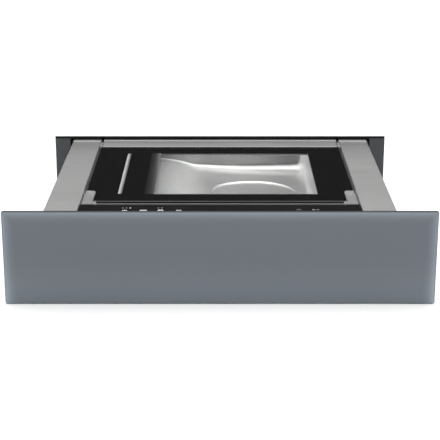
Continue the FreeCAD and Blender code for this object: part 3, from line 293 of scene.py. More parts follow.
def painted(name, colour, rough=0.42, height=0.00003, gloss=0.5):
    """Powder coat: soft orange peel."""
    f = Finish(name)
    peel = f.noise(900.0, 2.0, 0.5)
    cloud = f.noise(10.0, 3.0, 0.6)
    f.set(Specular_IOR_Level=gloss, Base_Color=f.grey(f.remap(cloud, 0.3, 0.7, 0.94, 1.06), colour), Roughness=f.remap(peel, 0.3, 0.7, rough - 0.05, rough + 0.05))
    f.bump(peel, height, 0.8)
    return f


# ---------------------------------------------------------------- finishes
F = {}
f = F["floor"] = Finish("studio_floor_finish")
f.set(Base_Color=f.grey(f.remap(f.noise(3.0, 2.0, 0.5), 0.3, 0.7, 0.885, 0.905)), Roughness=0.9, Specular_IOR_Level=0.2)
floor_mesh.materials.append(f.mat)

f = F["rail"] = brushed("brushed_rail", 0.63, 0.29, "X", 0.05, 0.00004)
x, y, z = f.xyz()
f.set(Roughness=f.math("ADD", f.bsdf.inputs["Roughness"].links[0].from_socket, f.math("ADD", f.remap(f.math("ADD", y, 0.707), 0.30, 0.45, 0.055, 0.0, True), f.remap(f.math("ADD", y, 0.707), 0.422, 0.434, 0.0, 0.16, True))))
f = F["tray"] = brushed("brushed_tray", 0.70, 0.30, "X", 0.03, 0.00001)
# the press works the sheet more on the shelf and in the corner bends than on the flat floor and the straight walls, so
# these are rougher; the colour holds painted light: a brighter ramp, a darker deep floor, painted shade on the walls
# that face front and back, and a painted highlight in the right-hand corner bend
nx, ny, nz = f.normal()
x, y, z = f.xyz()
left = f.remap(x, -0.068, -0.012, 1.0, 0.0, True)
# bent: the right-hand corner bend, which gets a painted highlight as well as more roughness
bent = f.math("MULTIPLY", f.remap(nx, -0.30, -0.08, 1.0, 0.0, True), f.remap(x, 0.123, 0.126))
# upright: walls facing front or back, darkened as painted shade
upright = f.remap(f.math("ABSOLUTE", ny), 0.80, 0.97, 1.0, 0.55, True)
was_colour, was_rough = f.bsdf.inputs["Base Color"].links[0].from_socket, f.bsdf.inputs["Roughness"].links[0].from_socket
# painted light across x: the ramp lighter than the shelf, the deep floor darker towards the right
level = f.math("MULTIPLY", f.remap(x, -0.090, -0.050, 0.80, 1.31), f.remap(x, 0.020, 0.110, 1.06, 0.84))
level = f.blend(bent, level, 1.30)
f.set(Base_Color=f.mix(1.0, was_colour, f.grey(f.math("MULTIPLY", f.math("MAXIMUM", upright, bent), level)), "MULTIPLY"),
      Roughness=f.math("ADD", was_rough, f.math("MULTIPLY", f.math("MAXIMUM", left, f.math("MULTIPLY", bent, 1.1)), 0.13)))
f = F["land"] = brushed("brushed_land", 0.57, 0.32, "X", 0.04, 0.00003)
x, y, z = f.xyz()
f.set(Base_Color=f.mix(1.0, f.bsdf.inputs["Base Color"].links[0].from_socket, f.grey(f.remap(f.math("ADD", y, 0.707), 0.0883, 0.0893, 0.66, 1.0)), "MULTIPLY"))
f = F["bar"] = brushed("brushed_hinge_bar", 0.60, 0.33, "X", 0.04, 0.00003)
x, y, z = f.xyz()
# painted highlight: the bar is brighter towards its front edge and darker towards the rear
f.set(Base_Color=f.mix(1.0, f.bsdf.inputs["Base Color"].links[0].from_socket, f.grey(f.remap(f.math("ADD", y, 0.707), 0.393, 0.428, 1.16, 0.84)), "MULTIPLY"))
f = F["cover"] = brushed("brushed_cover", 0.76, 0.46, "X", 0.04, 0.00003)
x, y, z = f.xyz()
f.set(Base_Color=f.mix(1.0, f.bsdf.inputs["Base Color"].links[0].from_socket, f.grey(f.remap(f.math("ADD", y, 0.707), 0.4310, 0.4335, 0.55, 1.0)), "MULTIPLY"))
F["port"] = brushed("brushed_port", 0.58, 0.30, "X", 0.04, 0.00002)
F["galvanised"] = galvanised("galvanised_sheet_finish")
F["dark_paint"] = painted("dark_paint_finish", (0.046, 0.051, 0.056))
F["black_paint"] = painted("black_paint_finish", (0.008, 0.0085, 0.009), 0.5, gloss=0.15)
f = F["white_paint"] = painted("white_paint_finish", (0.90, 0.90, 0.90), 0.5)
x, y, z = f.xyz()
wrap = f.math("MULTIPLY", f.math("LESS_THAN", y, -0.2628), f.math("GREATER_THAN", z, 0.1255))
f.set(Base_Color=f.mix(wrap, f.bsdf.inputs["Base Color"].links[0].from_socket, (0.009, 0.0095, 0.010)))
F["slide"] = brushed("rolled_slide_steel", 0.50, 0.32, "Y", 0.05, 0.00002, tint=(0.98, 1.0, 1.02))
F["cage"] = brushed("cage_steel_finish", 0.62, 0.24, "Y", 0.04, 0.00001, tint=(1.02, 1.0, 0.94))
F["aluminium"] = brushed("bar_aluminium_finish", 0.72, 0.34, "Y", 0.04, 0.00002, tint=(1.0, 1.0, 1.0))

# zinc plated screws
f = F["screw"] = Finish("zinc_screw")
cloud = f.noise(320.0, 4.0, 0.6)
f.set(Base_Color=f.mix(f.remap(cloud, 0.35, 0.65), (0.52, 0.53, 0.55), (0.62, 0.62, 0.60)), Metallic=1.0,
      Roughness=f.remap(cloud, 0.3, 0.7, 0.26, 0.42))
f.bump(f.noise(2600.0, 2.0, 0.5), 0.00002, 0.6)

# glass front: print seen through the pane, with painted light along the bevelled edges, a painted dark line on the
# bevel itself, and painted light towards the bottom
f = F["front"] = Finish("grey_front_glass")
x, y, z = f.xyz()
side = f.math("SUBTRACT", 0.2985, f.math("ABSOLUTE", x))
top = f.math("SUBTRACT", 0.1345, z)
edge = f.math("MINIMUM", side, top)
# painted light: lighter towards the side and top edges
painted_edge_light = f.remap(edge, 0.0, 0.0225, 1.0, 0.0)
painted_edge_light = f.math("MULTIPLY", painted_edge_light, f.math("MULTIPLY", painted_edge_light, painted_edge_light))
speck = f.noise(2400.0, 2.0, 0.6)
cloud = f.noise(4.0, 2.0, 0.5)
level = f.math("ADD", f.remap(cloud, 0.3, 0.7, 0.985, 1.015), f.remap(speck, 0.3, 0.7, -0.02, 0.02))
# painted light: lighter towards the bottom, against the shade near the floor
level = f.math("MULTIPLY", level, f.remap(z, 0.0, 0.075, 1.38, 1.0, True))
deep = f.grey(level, (0.0915, 0.1075, 0.127))
lit = f.grey(level, (0.230, 0.268, 0.312))
# painted shade: a dark line along the bevel at the very edge
rim = f.remap(edge, 0.0009, 0.0015, 1.0, 0.0)
f.set(Base_Color=f.mix(rim, f.mix(painted_edge_light, deep, lit), (0.012, 0.014, 0.018)), Roughness=f.remap(speck, 0.3, 0.7, 0.30, 0.38),
      Specular_IOR_Level=0.15, Coat_Weight=1.0, Coat_Roughness=0.03, Coat_IOR=1.5)

# touch pane
f = F["touch"] = Finish("black_touch_glass")
smear = f.noise(38.0, 4.0, 0.6)
f.set(Base_Color=f.grey(f.remap(smear, 0.3, 0.7, 0.0085, 0.0125), (1.0, 1.03, 1.06)), Roughness=f.remap(smear, 0.3, 0.75, 0.015, 0.035),
      Specular_IOR_Level=0.5)

# print under the lid: black, with a smoked strip left of the window and a thin pale margin round the window
f = F["film"] = Finish("black_lid_print")
x, y, z = f.xyz()
yy = f.math("ADD", y, 0.707)


def between(f, v, a, b):
    return f.math("MULTIPLY", f.math("GREATER_THAN", v, a), f.math("LESS_THAN", v, b))


dust = f.noise(1500.0, 3.0, 0.6)
black = f.remap(dust, 0.3, 0.7, 0.0024, 0.0036)
strip = f.math("MULTIPLY", between(f, x, -0.1105, -0.0968), between(f, yy, 0.1312, 0.3589))
across = f.remap(x, -0.1105, -0.0968)
haze = f.math("MULTIPLY", f.math("POWER", across, 4.0), f.remap(yy, 0.20, 0.355, 0.05, 0.16))
smoke = f.math("MULTIPLY", strip, f.math("ADD", f.math("MULTIPLY_ADD", across, 0.035, c=0.012), haze))
sides = f.math("ADD", between(f, x, -0.0968, -0.0955), between(f, x, 0.1415, 0.1428))
sides = f.math("MULTIPLY", sides, between(f, yy, 0.1295, 0.3589))
sill = f.math("MULTIPLY", between(f, yy, 0.1295, 0.1320), between(f, x, -0.0968, 0.1428))
pale = f.math("MULTIPLY", f.math("MAXIMUM", sides, sill), 0.22)
tone = f.math("ADD", black, f.math("MAXIMUM", smoke, pale))
f.set(Base_Color=f.grey(tone, (1.0, 1.0, 1.02)), Roughness=f.remap(dust, 0.3, 0.7, 0.45, 0.55), Specular_IOR_Level=0.08)

# clear lid glass that lets lamps through; its frosted edges carry painted light: a painted highlight on the corner
# notches and painted shade on the front edge
f = F["lid"] = Finish("clear_lid_glass")
nx, ny, nz = f.normal()
edge = f.remap(f.math("ABSOLUTE", nz), 0.3, 0.8, 1.0, 0.0)
haze = f.noise(60.0, 3.0, 0.6)
pane = f.grey(f.remap(haze, 0.3, 0.7, 0.982, 0.990), (1.0, 1.004, 1.002))
f.set(Base_Color=f.mix(edge, pane, (0.55, 0.66, 0.62)), Roughness=0.0, IOR=1.5, Transmission_Weight=1.0)
path = f.nt.nodes.new("ShaderNodeLightPath")
clear = f.nt.nodes.new("ShaderNodeBsdfTransparent")
clear.inputs["Color"].default_value = (0.93, 0.94, 0.935, 1.0)
x, y, z = f.xyz()
corner = f.math("MULTIPLY", f.math("GREATER_THAN", f.math("ABSOLUTE", x), 0.1772), f.math("LESS_THAN", f.math("ADD", y, 0.707), 0.16))
upright = f.math("LESS_THAN", f.math("ABSOLUTE", nz), 0.5)
# painted highlight: the notch edges get three quarters of a pale diffuse coat
notch_painted_highlight = f.math("MULTIPLY", f.math("MULTIPLY", corner, upright), 0.75)
front = f.math("MULTIPLY", f.math("LESS_THAN", f.math("ADD", y, 0.707), 0.0905), f.math("LESS_THAN", f.math("ABSOLUTE", nz), 0.95))
front = f.math("MULTIPLY", front, f.math("SUBTRACT", 1.0, corner))
# painted tones: pale on the notches, dark on the front edge, darkest on its upright face
shade = f.blend(front, 0.8, f.blend(upright, 0.13, 0.025))
frost = f.nt.nodes.new("ShaderNodeBsdfDiffuse")
f.link(f.grey(f.math("MULTIPLY", shade, f.remap(f.noise(1800.0, 2.0, 0.5), 0.3, 0.7, 0.93, 1.07)), (0.98, 1.0, 0.99)), frost.inputs["Color"])
frosted_edges_painted_light = f.nt.nodes.new("ShaderNodeMixShader")
f.nt.links.new(f.math("MAXIMUM", notch_painted_highlight, front), frosted_edges_painted_light.inputs[0])
f.nt.links.new(f.bsdf.outputs[0], frosted_edges_painted_light.inputs[1])
f.nt.links.new(frost.outputs[0], frosted_edges_painted_light.inputs[2])
both = f.nt.nodes.new("ShaderNodeMixShader")
f.nt.links.new(path.outputs["Is Shadow Ray"], both.inputs[0])
f.nt.links.new(frosted_edges_painted_light.outputs[0], both.inputs[1])
f.nt.links.new(clear.outputs[0], both.inputs[2])
f.nt.links.new(both.outputs[0], f.out.inputs["Surface"])

F["gasket"] = plastic("grey_silicone_finish", (0.16, 0.16, 0.165), 0.55, 1200.0, 0.00002)
f = F["white"] = plastic("white_silicone_finish", (0.60, 0.60, 0.595), 0.45, 900.0, 0.00003, 0.06)
x, y, z = f.xyz()
was_colour = f.bsdf.inputs["Base Color"].links[0].from_socket
# painted shade: the bar darkens towards +x, where the slit's edge shades it
f.set(Base_Color=f.mix(1.0, was_colour, f.grey(f.remap(x, -0.1482, -0.1440, 1.0, 0.12, True)), "MULTIPLY"))
F["rubber"] = plastic("black_rubber_finish", (0.022, 0.022, 0.023), 0.72, 1300.0, 0.00006)
F["black_plastic"] = plastic("black_plastic_finish", (0.026, 0.027, 0.029), 0.45, 1500.0, 0.00005)
F["grey_plastic"] = plastic("grey_plastic_finish", (0.30, 0.31, 0.32), 0.42, 1500.0, 0.00004, 0.1)

f = F["hose"] = Finish("hose_rubber_finish")
ribs = f.noise(900.0, 2.0, 0.5)
cloud = f.noise(30.0, 3.0, 0.6)
f.set(Base_Color=f.grey(f.remap(cloud, 0.3, 0.7, 0.85, 1.15), (0.035, 0.036, 0.038)), Roughness=f.remap(ribs, 0.3, 0.7, 0.48, 0.62))
f.bump(ribs, 0.00008, 0.8)

f = F["tape"] = Finish("heating_strip_tape")
x, y, z = f.xyz()
weave = f.math("MULTIPLY", f.math("SINE", f.math("MULTIPLY", f.math("ADD", x, y), 5200.0)),
               f.math("SINE", f.math("MULTIPLY", f.math("SUBTRACT", x, y), 5200.0)))
cloud = f.noise(60.0, 3.0, 0.6)
f.set(Base_Color=f.mix(f.remap(weave, -1, 1), f.grey(f.remap(cloud, 0.3, 0.7, 0.85, 1.1), (0.30, 0.20, 0.10)), (0.40, 0.29, 0.16)),
      Roughness=f.remap(weave, -1, 1, 0.38, 0.52))
f.bump(weave, 0.00004, 0.6)

# circuit boards: green laminate with tracks, and each component in its own colour
f = F["board"] = Finish("circuit_board_finish")
tracks = f.voronoi(170.0, "DISTANCE_TO_EDGE", "Distance", stretch=(1.0, 1.0, 0.2), rand=0.35)
line = f.remap(tracks, 0.035, 0.06, 1.0, 0.0)
dirt = f.remap(f.noise(500.0, 3.0, 0.6), 0.3, 0.7, 0.85, 1.15)
x, y, z = f.xyz()
yy = f.math("ADD", y, 0.707)
colour = f.grey(dirt, (0.028, 0.030, 0.034))
for x0, x1, y0, y1, tone in ((-0.195, -0.155, 0.209, 0.250, (0.018, 0.030, 0.085)), (-0.145, -0.095, 0.125, 0.165, (0.36, 0.25, 0.03)),
                             (-0.152, -0.098, 0.168, 0.196, (0.52, 0.53, 0.55)), (-0.095, -0.055, 0.130, 0.190, (0.42, 0.12, 0.02)),
                             (-0.145, -0.075, 0.196, 0.255, (0.40, 0.41, 0.42)), (0.095, 0.155, 0.050, 0.070, (0.30, 0.31, 0.30))):
    colour = f.mix(f.math("MULTIPLY", between(f, x, x0, x1), between(f, yy, y0, y1)), colour, f.grey(dirt, tone))
lam = f.mix(line, f.grey(dirt, (0.010, 0.075, 0.035)), f.grey(dirt, (0.022, 0.14, 0.06)))
sheet = f.math("MAXIMUM", f.math("LESS_THAN", z, 0.01765), between(f, z, 0.1058, 0.10765))
f.set(Base_Color=f.mix(sheet, colour, lam), Roughness=f.remap(dirt, 0.85, 1.15, 0.32, 0.46))
f.bump(f.math("MULTIPLY", line, sheet), 0.00003, 0.7)

f = F["casting"] = Finish("pump_casting_finish")
grit = f.noise(650.0, 5.0, 0.65)
cloud = f.noise(22.0, 3.0, 0.6)
f.set(Base_Color=f.grey(f.math("ADD", f.remap(grit, 0.3, 0.7, 0.42, 0.52), f.remap(cloud, 0.3, 0.7, -0.04, 0.04)), (1.0, 1.0, 1.01)),
      Metallic=0.9, Roughness=f.remap(grit, 0.3, 0.7, 0.48, 0.62))
f.bump(grit, 0.00012, 0.7)

F["motor"] = painted("motor_paint_finish", (0.055, 0.058, 0.064), 0.38)

# ring transformer wound with amber tape
f = F["transformer"] = Finish("transformer_tape_finish")
x, y, z = f.xyz()
px = f.math("SUBTRACT", x, 0.025)
py = f.math("SUBTRACT", y, -0.457)
angle = f.math("ARCTAN2", py, px)
turns = f.math("SINE", f.math("MULTIPLY", angle, 74.0))
cloud = f.noise(70.0, 3.0, 0.6)
f.set(Base_Color=f.mix(f.remap(turns, -0.6, 1.0), f.grey(f.remap(cloud, 0.3, 0.7, 0.85, 1.1), (0.42, 0.20, 0.045)), (0.62, 0.36, 0.10)),
      Roughness=f.remap(turns, -1, 1, 0.30, 0.42))
f.bump(turns, 0.0001, 0.7)

# printed signs on the touch pane
f = F["sign"] = Finish("white_sign_print")
dots = f.noise(3000.0, 1.0, 0.5)
f.set(Base_Color=f.grey(f.remap(dots, 0.3, 0.7, 0.80, 0.90)), Roughness=f.remap(dots, 0.3, 0.7, 0.4, 0.5))
f = F["sign_dim"] = Finish("dim_sign_print")
dots = f.noise(3000.0, 1.0, 0.5)
f.set(Base_Color=f.grey(f.remap(dots, 0.3, 0.7, 0.26, 0.32)), Roughness=f.remap(dots, 0.3, 0.7, 0.4, 0.5))
f = F["sign_faint"] = Finish("faint_sign_print")
dots = f.noise(3000.0, 1.0, 0.5)
f.set(Base_Color=f.grey(f.remap(dots, 0.3, 0.7, 0.08, 0.11)), Roughness=f.remap(dots, 0.3, 0.7, 0.4, 0.5))


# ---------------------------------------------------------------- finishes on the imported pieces
WEARS = {
    "white_paint": ["carcass_base", "carcass_side_left", "carcass_side_right", "carcass_top", "carcass_back"],
    "galvanised": ["slide_brackets", "front_backing", "front_liner", "front_brackets", "drawer_floor", "drawer_side_left", "drawer_side_right",
                   "drawer_back", "tray_crossbars"],
    "dark_paint": ["front_flange_left", "front_flange_right"],
    "black_paint": ["front_top_band"],
    "rail": ["rail_cover_left", "rail_cover_right"],
    "bar": ["lid_hinge_bar", "hinge_brackets", "latch_striker"],
    "cover": ["rear_cover"],
    "tray": ["chamber_tray"],
    "port": ["suction_port"],
    "slide": ["slide_outer_left", "slide_outer_right", "slide_mid_left", "slide_mid_right", "slide_inner_left", "slide_inner_right"],
    "cage": ["ball_cages_outer", "ball_cages_inner"],
    "screw": ["carcass_screws", "drawer_screws", "hinge_pins"],
    "front": ["front_glass"],
    "touch": ["control_glass"],
    "film": ["lid_film"],
    "lid": ["lid_glass"],
    "gasket": ["chamber_gasket"],
    "white": ["counter_bar"],
    "rubber": ["front_buffers", "pump_mounts"],
    "hose": ["vacuum_hose"],
    "aluminium": ["seal_bar", "seal_actuators"],
    "tape": ["seal_element"],
    "black_plastic": ["cable_gland", "latch_housing", "control_carrier", "fan_frame", "fan_rotor", "valve_block"],
    "grey_plastic": ["latch_plunger"],
    "board": ["touch_board", "power_board"],
    "casting": ["vacuum_pump"],
    "motor": ["pump_motor"],
    "transformer": ["transformer"],
}
dressed = set()
for finish, names in WEARS.items():
    for name in names:
        o = nodes[name]
        if not o.data.materials:
            o.data.materials.append(F[finish].mat)
        for i in range(len(o.data.materials)):
            o.data.materials[i] = F[finish].mat
        dressed.add(name)
assert dressed == set(nodes), sorted(set(nodes) - dressed)


# ---------------------------------------------------------------- mesh helpers
def shaded(obj, angle=32.0):
    """Smooth shading with sharp edges past an angle, and normals weighted by face area."""
    mesh = obj.data
    for p in mesh.polygons:
        p.use_smooth = True
    mesh.set_sharp_from_angle(angle=math.radians(angle))
    m = obj.modifiers.new("weighted", "WEIGHTED_NORMAL")
    m.keep_sharp = True
    m.weight = 50
    bpy.context.view_layer.update()
    graph = bpy.context.evaluated_depsgraph_get()
    final = bpy.data.meshes.new_from_object(obj.evaluated_get(graph))
    obj.modifiers.clear()
    old = obj.data
    obj.data = final
    final.name = old.name
    return obj


def make(name, verts, faces, material, body, weld=1e-6):
    mesh = bpy.data.meshes.new(name)
    mesh.from_pydata(verts, [], faces)
    bm = bmesh.new()
    bm.from_mesh(mesh)
    bmesh.ops.remove_doubles(bm, verts=bm.verts, dist=weld)
    bmesh.ops.dissolve_degenerate(bm, dist=1e-7, edges=bm.edges)
    bmesh.ops.recalc_face_normals(bm, faces=bm.faces)
    bm.to_mesh(mesh)
    bm.free()
    mesh.materials.append(material)
    o = bpy.data.objects.new(name, mesh)
    scene.collection.objects.link(o)
    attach(o, body)
    return o


# ---------------------------------------------------------------- chamber tray: pressed well with soft foot bends
SHELF, FLOOR, PLATE, THICK = 105.0, 87.0, 111.5, 1.5
WL, WR, WF, WB = -172.0, 152.0, 104.0, 360.0
PROFILE = [(-106.0, 105.0), (-96.0, 104.5), (-84.0, 103.0), (-72.0, 101.0), (-60.0, 98.2), (-50.0, 95.0), (-42.0, 92.9), (-33.0, 91.5),
           (-16.0, 90.1), (0.0, 89.0), (22.0, 87.8), (48.0, 87.1), (70.0, 87.0)]
_gap = [b[0] - a[0] for a, b in zip(PROFILE, PROFILE[1:])]
_fall = [(b[1] - a[1]) / (b[0] - a[0]) for a, b in zip(PROFILE, PROFILE[1:])]
_lean = [0.0] + [2 * p * q / (p + q) if p * q > 0 else 0.0 for p, q in zip(_fall, _fall[1:])] + [0.0]


def floor_at(x):
    """Height of the well's floor: a level shelf, a ramp that eases out, and the deep floor."""
    if x <= PROFILE[0][0]:
        return SHELF
    if x >= PROFILE[-1][0]:
        return FLOOR
    k = max(n for n, p in enumerate(PROFILE[:-1]) if p[0] <= x)
    h = _gap[k]
    t = (x - PROFILE[k][0]) / h
    z0, z1 = PROFILE[k][1], PROFILE[k + 1][1]
    return ((1 + 2 * t) * (1 - t) ** 2 * z0 + t * (1 - t) ** 2 * h * _lean[k]
            + t * t * (3 - 2 * t) * z1 + t * t * (t - 1) * h * _lean[k + 1])


def ease(a, b, v):
    t = min(1.0, max(0.0, (v - a) / (b - a)))
    return t * t * (3 - 2 * t)


def foot(x):
    """Radius of the bend between wall and floor: tight on the shelf, wide on the deep side."""
    return 2.5 + 5.5 * ease(-96, 0, x) + 4.5 * min(1.0, max(0.0, x / 124.0)) + 9.5 * ease(116, 150, x)


def margin(x):
    return 4.0 + max(0.0, -164.0 - x) + 11.0 * ease(-96, 20, x) + 9.0 * ease(116, 128, x)


def fill(points, step):
    """Coordinates from a list of fixed ones, with more put between them."""
    out = []
    for a, b in zip(points, points[1:]):
        n = max(1, math.ceil((b - a) / step - 1e-6))
        out += [a + (b - a) * i / n for i in range(n)]
    return out + [points[-1]]


gx = (fill([-168.0, -166.4, -164.8, -163.2, -161.6, -160.0, -159.0, -152.7, -140.3, -134.0], 3.2)
      + fill([-134.0, -112.0, -24.0], 3.0)[1:] + fill([-24.0, 93.0, 119.0], 3.5)[1:]
      + [120.5, 122.0, 123.4, 124.8, 126.0, 127.0, 128.0])
gv = fill([0.0, 0.0062, 0.0124, 0.0186, 0.0248, 0.031, 0.1261, 0.1504, 0.1645, 0.2145, 0.7611, 0.8097, 0.8597, 0.969, 0.9752,
           0.9814, 0.9876, 0.9938, 1.0], 0.0165)
NX, NV = len(gx), len(gv)


def at(values, target):
    return min(range(len(values)), key=lambda i: abs(values[i] - target))


def grid_xy(i, j):
    m = margin(gx[i])
    return gx[i], WF + m + gv[j] * (WB - WF - 2 * m)


top, low, faces = [], [], []          # top and underside points, faces by index


def add(p, q):
    top.append(p)
    low.append(q)
    return len(top) - 1


grid = {}
for i in range(NX):
    for j in range(NV):
        x, y = grid_xy(i, j)
        z = floor_at(x)
        grid[i, j] = add((x, y, z), (x, y, z - THICK))


def ring_of(i0, i1, j0, j1):
    """Grid places round a rectangle, anticlockwise from its front left corner."""
    r = [(i, j0) for i in range(i0, i1)] + [(i1, j) for j in range(j0, j1)]
    r += [(i, j1) for i in range(i1, i0, -1)] + [(i0, j) for j in range(j1, j0, -1)]
    return r


def strip(a, b):
    """Faces between two closed loops of points."""
    n = len(a)
    for k in range(n):
        m = (k + 1) % n
        faces.append((a[k], a[m], b[m], b[k]))


patches = []
# raised ring bead, pressed into the floor
i0, i1, ip, j0, jp, j1 = at(gx, -24.0), at(gx, 128.0), at(gx, 93.0), at(gv, 0.1261), at(gv, 0.1504), at(gv, 0.7611)
patches += [(i0, i1, jp, j1), (i0, ip, j0, jp)]
cx, cy, radius, half, rise = 52.0, 219.0, 66.0, 3.4, 1.9
outer = [(i, j0) for i in range(i0, ip)] + [(ip, j) for j in range(j0, jp)] + [(i, jp) for i in range(ip, i1)]
outer += [(i1, j) for j in range(jp, j1)] + [(i, j1) for i in range(i1, i0, -1)] + [(i0, j) for j in range(j1, j0, -1)]
angles = [math.atan2(grid_xy(i, j)[1] - cy, grid_xy(i, j)[0] - cx) for i, j in outer]
radii = [radius + half * c for c in (1.0, 0.8, 0.6, 0.42, 0.26, 0.12, 0.0, -0.12, -0.26, -0.42, -0.6, -0.8, -1.0)] + [52, 40, 28, 17, 8]
prev = [grid[p] for p in outer]
for r in radii:
    d = (r - radius) / half
    up = rise * (math.cos(math.pi * min(1.0, abs(d))) + 1) / 2 if abs(d) < 1 else 0.0
    loop = []
    for a in angles:
        x, y = cx + r * math.cos(a), cy + r * math.sin(a)
        z = floor_at(x) + up * (1.0 - ease(-8.5, -14.0, x) if x < -8.5 else 1.0)
        loop.append(add((x, y, z), (x, y, z - THICK)))
    strip(prev, loop)
    prev = loop
centre = add((cx, cy, floor_at(cx)), (cx, cy, floor_at(cx) - THICK))
for k in range(len(prev)):
    faces.append((prev[k], prev[(k + 1) % len(prev)], centre))


def bored(i0, i1, j0, j1, cx, cy, radius, z=None):
    """A round hole in a rectangle of the grid."""
    patches.append((i0, i1, j0, j1))
    around = ring_of(i0, i1, j0, j1)
    loop = []
    for i, j in around:
        x, y = grid_xy(i, j)
        a = math.atan2(y - cy, x - cx)
        zz = floor_at(cx) if z is None else z
        loop.append(add((cx + radius * math.cos(a), cy + radius * math.sin(a), zz),
                        (cx + radius * math.cos(a), cy + radius * math.sin(a), zz - THICK)))
    strip([grid[p] for p in around], loop)


bored(at(gx, 93.0), at(gx, 127.0), at(gv, 0.0124), at(gv, 0.1504), 110.0, 140.0, 11.6)

# trough for the sealing bar: rounded lip, straight walls, small foot bend, floor with two bores
TX0, TX1, TY0, TY1, TZ = -158.0, -135.0, 109.0, 355.0, 96.0
i0, i1, j0, j1 = at(gx, -159.0), at(gx, -134.0), 0, NV - 1
trough_cells = (i0, i1, j0, j1)
rim = ring_of(i0, i1, j0, j1)


def pulled(i, j, d):
    """A place on the trough's rim moved inwards by d."""
    x, y = grid_xy(i, j)
    return min(max(x, gx[i0] + d), gx[i1] - d), min(max(y, WF + 4.0 + d), TY1 + 1.0 - d)


prev = [grid[p] for p in rim]
for step in range(1, 5):
    a = step / 4 * math.pi / 2
    d, dz = math.sin(a), 1 - math.cos(a)
    loop = []
    for i, j in rim:
        x, y = pulled(i, j, d)
        bx, by = pulled(i, j, -0.5)
        loop.append(add((x, y, SHELF - dz), (bx, by, SHELF - THICK)))
    strip(prev, loop)
    prev = loop
for z in (102.5, 100.0, TZ + 1.5):
    loop = []
    for i, j in rim:
        x, y = pulled(i, j, 1.0)
        bx, by = pulled(i, j, 1.0 - THICK)
        loop.append(add((x, y, z), (bx, by, z)))
    strip(prev, loop)
    prev = loop
for step in range(1, 5):
    a = step / 4 * math.pi / 2
    loop = []
    for i, j in rim:
        x, y = pulled(i, j, 1.0 + 1.5 * (1 - math.cos(a)))
        bx, by = pulled(i, j, 1.0 + 1.5 - 3.0 * math.cos(a))
        loop.append(add((x, y, TZ + 1.5 * (1 - math.sin(a))), (bx, by, TZ + 1.5 - 3.0 * math.sin(a))))
    strip(prev, loop)
    prev = loop
lowered = dict(zip(rim, prev))
for i in range(i0, i1 + 1):
    for j in range(j0, j1 + 1):
        if (i, j) not in lowered:
            x, y = pulled(i, j, 2.5)
            lowered[i, j] = add((x, y, TZ), (x, y, TZ - THICK))
bores = []
for jb0, jb1, by in ((at(gv, 0.1645), at(gv, 0.2145), 155.0), (at(gv, 0.8097), at(gv, 0.8597), 315.0)):
    ib0, ib1 = at(gx, -152.7), at(gx, -140.3)
    bores.append((ib0, ib1, jb0, jb1))
    around = ring_of(ib0, ib1, jb0, jb1)
    loop = []
    for i, j in around:
        x, y = grid_xy(i, j)
        a = math.atan2(y - by, x + 146.5)
        p = (-146.5 + 5.1 * math.cos(a), by + 5.1 * math.sin(a))
        loop.append(add((*p, TZ), (*p, TZ - THICK)))
    strip([lowered[p] for p in around], loop)
for i in range(i0, i1):
    for j in range(j0, j1):
        if not any(a <= i < b and c <= j < d for a, b, c, d in bores):
            faces.append((lowered[i, j], lowered[i + 1, j], lowered[i + 1, j + 1], lowered[i, j + 1]))
patches.append(trough_cells)

for i in range(NX - 1):
    for j in range(NV - 1):
        if not any(a <= i < b and c <= j < d for a, b, c, d in patches):
            faces.append((grid[i, j], grid[i + 1, j], grid[i + 1, j + 1], grid[i, j + 1]))

# walls: each place on the grid's edge goes to a place on the rounded outline of the well
edge_ring = ring_of(0, NX - 1, 0, NV - 1)
XL, XR = gx[at(gx, -160.0)], gx[at(gx, 119.0)]
RL, RR, PL = 12.0, 28.0, 3.5                      # corner radii, and how far the flat plate goes beyond the well
VC0, VC1 = at(gv, 0.031), at(gv, 0.969)
IL, IR = at(gx, -160.0), at(gx, 119.0)


def outline(i, j):
    """(x, y) on the well's outline, the inward normal, and the place on the plate's rectangle, for a place on the grid's edge."""
    x, y = grid_xy(i, j)
    left, right, front, rear = i <= IL, i >= IR, j <= VC0, j >= VC1
    bx0, bx1, by0, by1 = WL - PL, WR + PL, WF - PL, WB + PL
    if (left or right) and (front or rear):
        R = RL if left else RR
        sx, sy = (-1 if left else 1), (-1 if front else 1)
        on_x = j in (0, NV - 1)                   # on the front or rear edge of the grid
        if on_x:
            span = abs(gx[IL if left else IR] - gx[0 if left else NX - 1])
            s = 0.5 * abs(x - gx[0 if left else NX - 1]) / span     # 0 at the corner, 0.5 at the end
        else:
            span = abs(gv[VC0 if front else VC1] - (0.0 if front else 1.0))
            s = -0.5 * abs(gv[j] - (0.0 if front else 1.0)) / span
        a = math.pi / 2 * (0.5 + s)               # 90 degrees: pointing along y, 0: along x
        nx, ny = sx * math.cos(a), sy * math.sin(a)
        ccx = WL + R if left else WR - R
        ccy = WF + R if front else WB - R
        leg = R + PL
        px = (bx0 if left else bx1) - sx * max(0.0, 2 * s) * leg
        py = (by0 if front else by1) - sy * max(0.0, -2 * s) * leg
        return (ccx + R * nx, ccy + R * ny), (-nx, -ny), (px, py)
    if left or right:
        ya, yb = grid_xy(i, VC0)[1], grid_xy(i, VC1)[1]
        R = RL if left else RR
        t = (y - ya) / (yb - ya)
        yy = WF + R + t * (WB - WF - 2 * R)
        return ((WL if left else WR), yy), (1 if left else -1, 0), ((bx0 if left else bx1), yy)
    xx = x if x < 100 else 100 + (x - 100) * (WR - RR - 100) / (XR - 100)
    return (xx, WF if j == 0 else WB), (0, 1 if j == 0 else -1), (xx, by0 if j == 0 else by1)


RIM = 1.3
prof = []
for i, j in edge_ring:
    (ox, oy), (nx, ny), (px, py) = outline(i, j)
    prof.append((i, j, ox, oy, nx, ny, px, py, foot(ox), floor_at(ox)))
loops = []
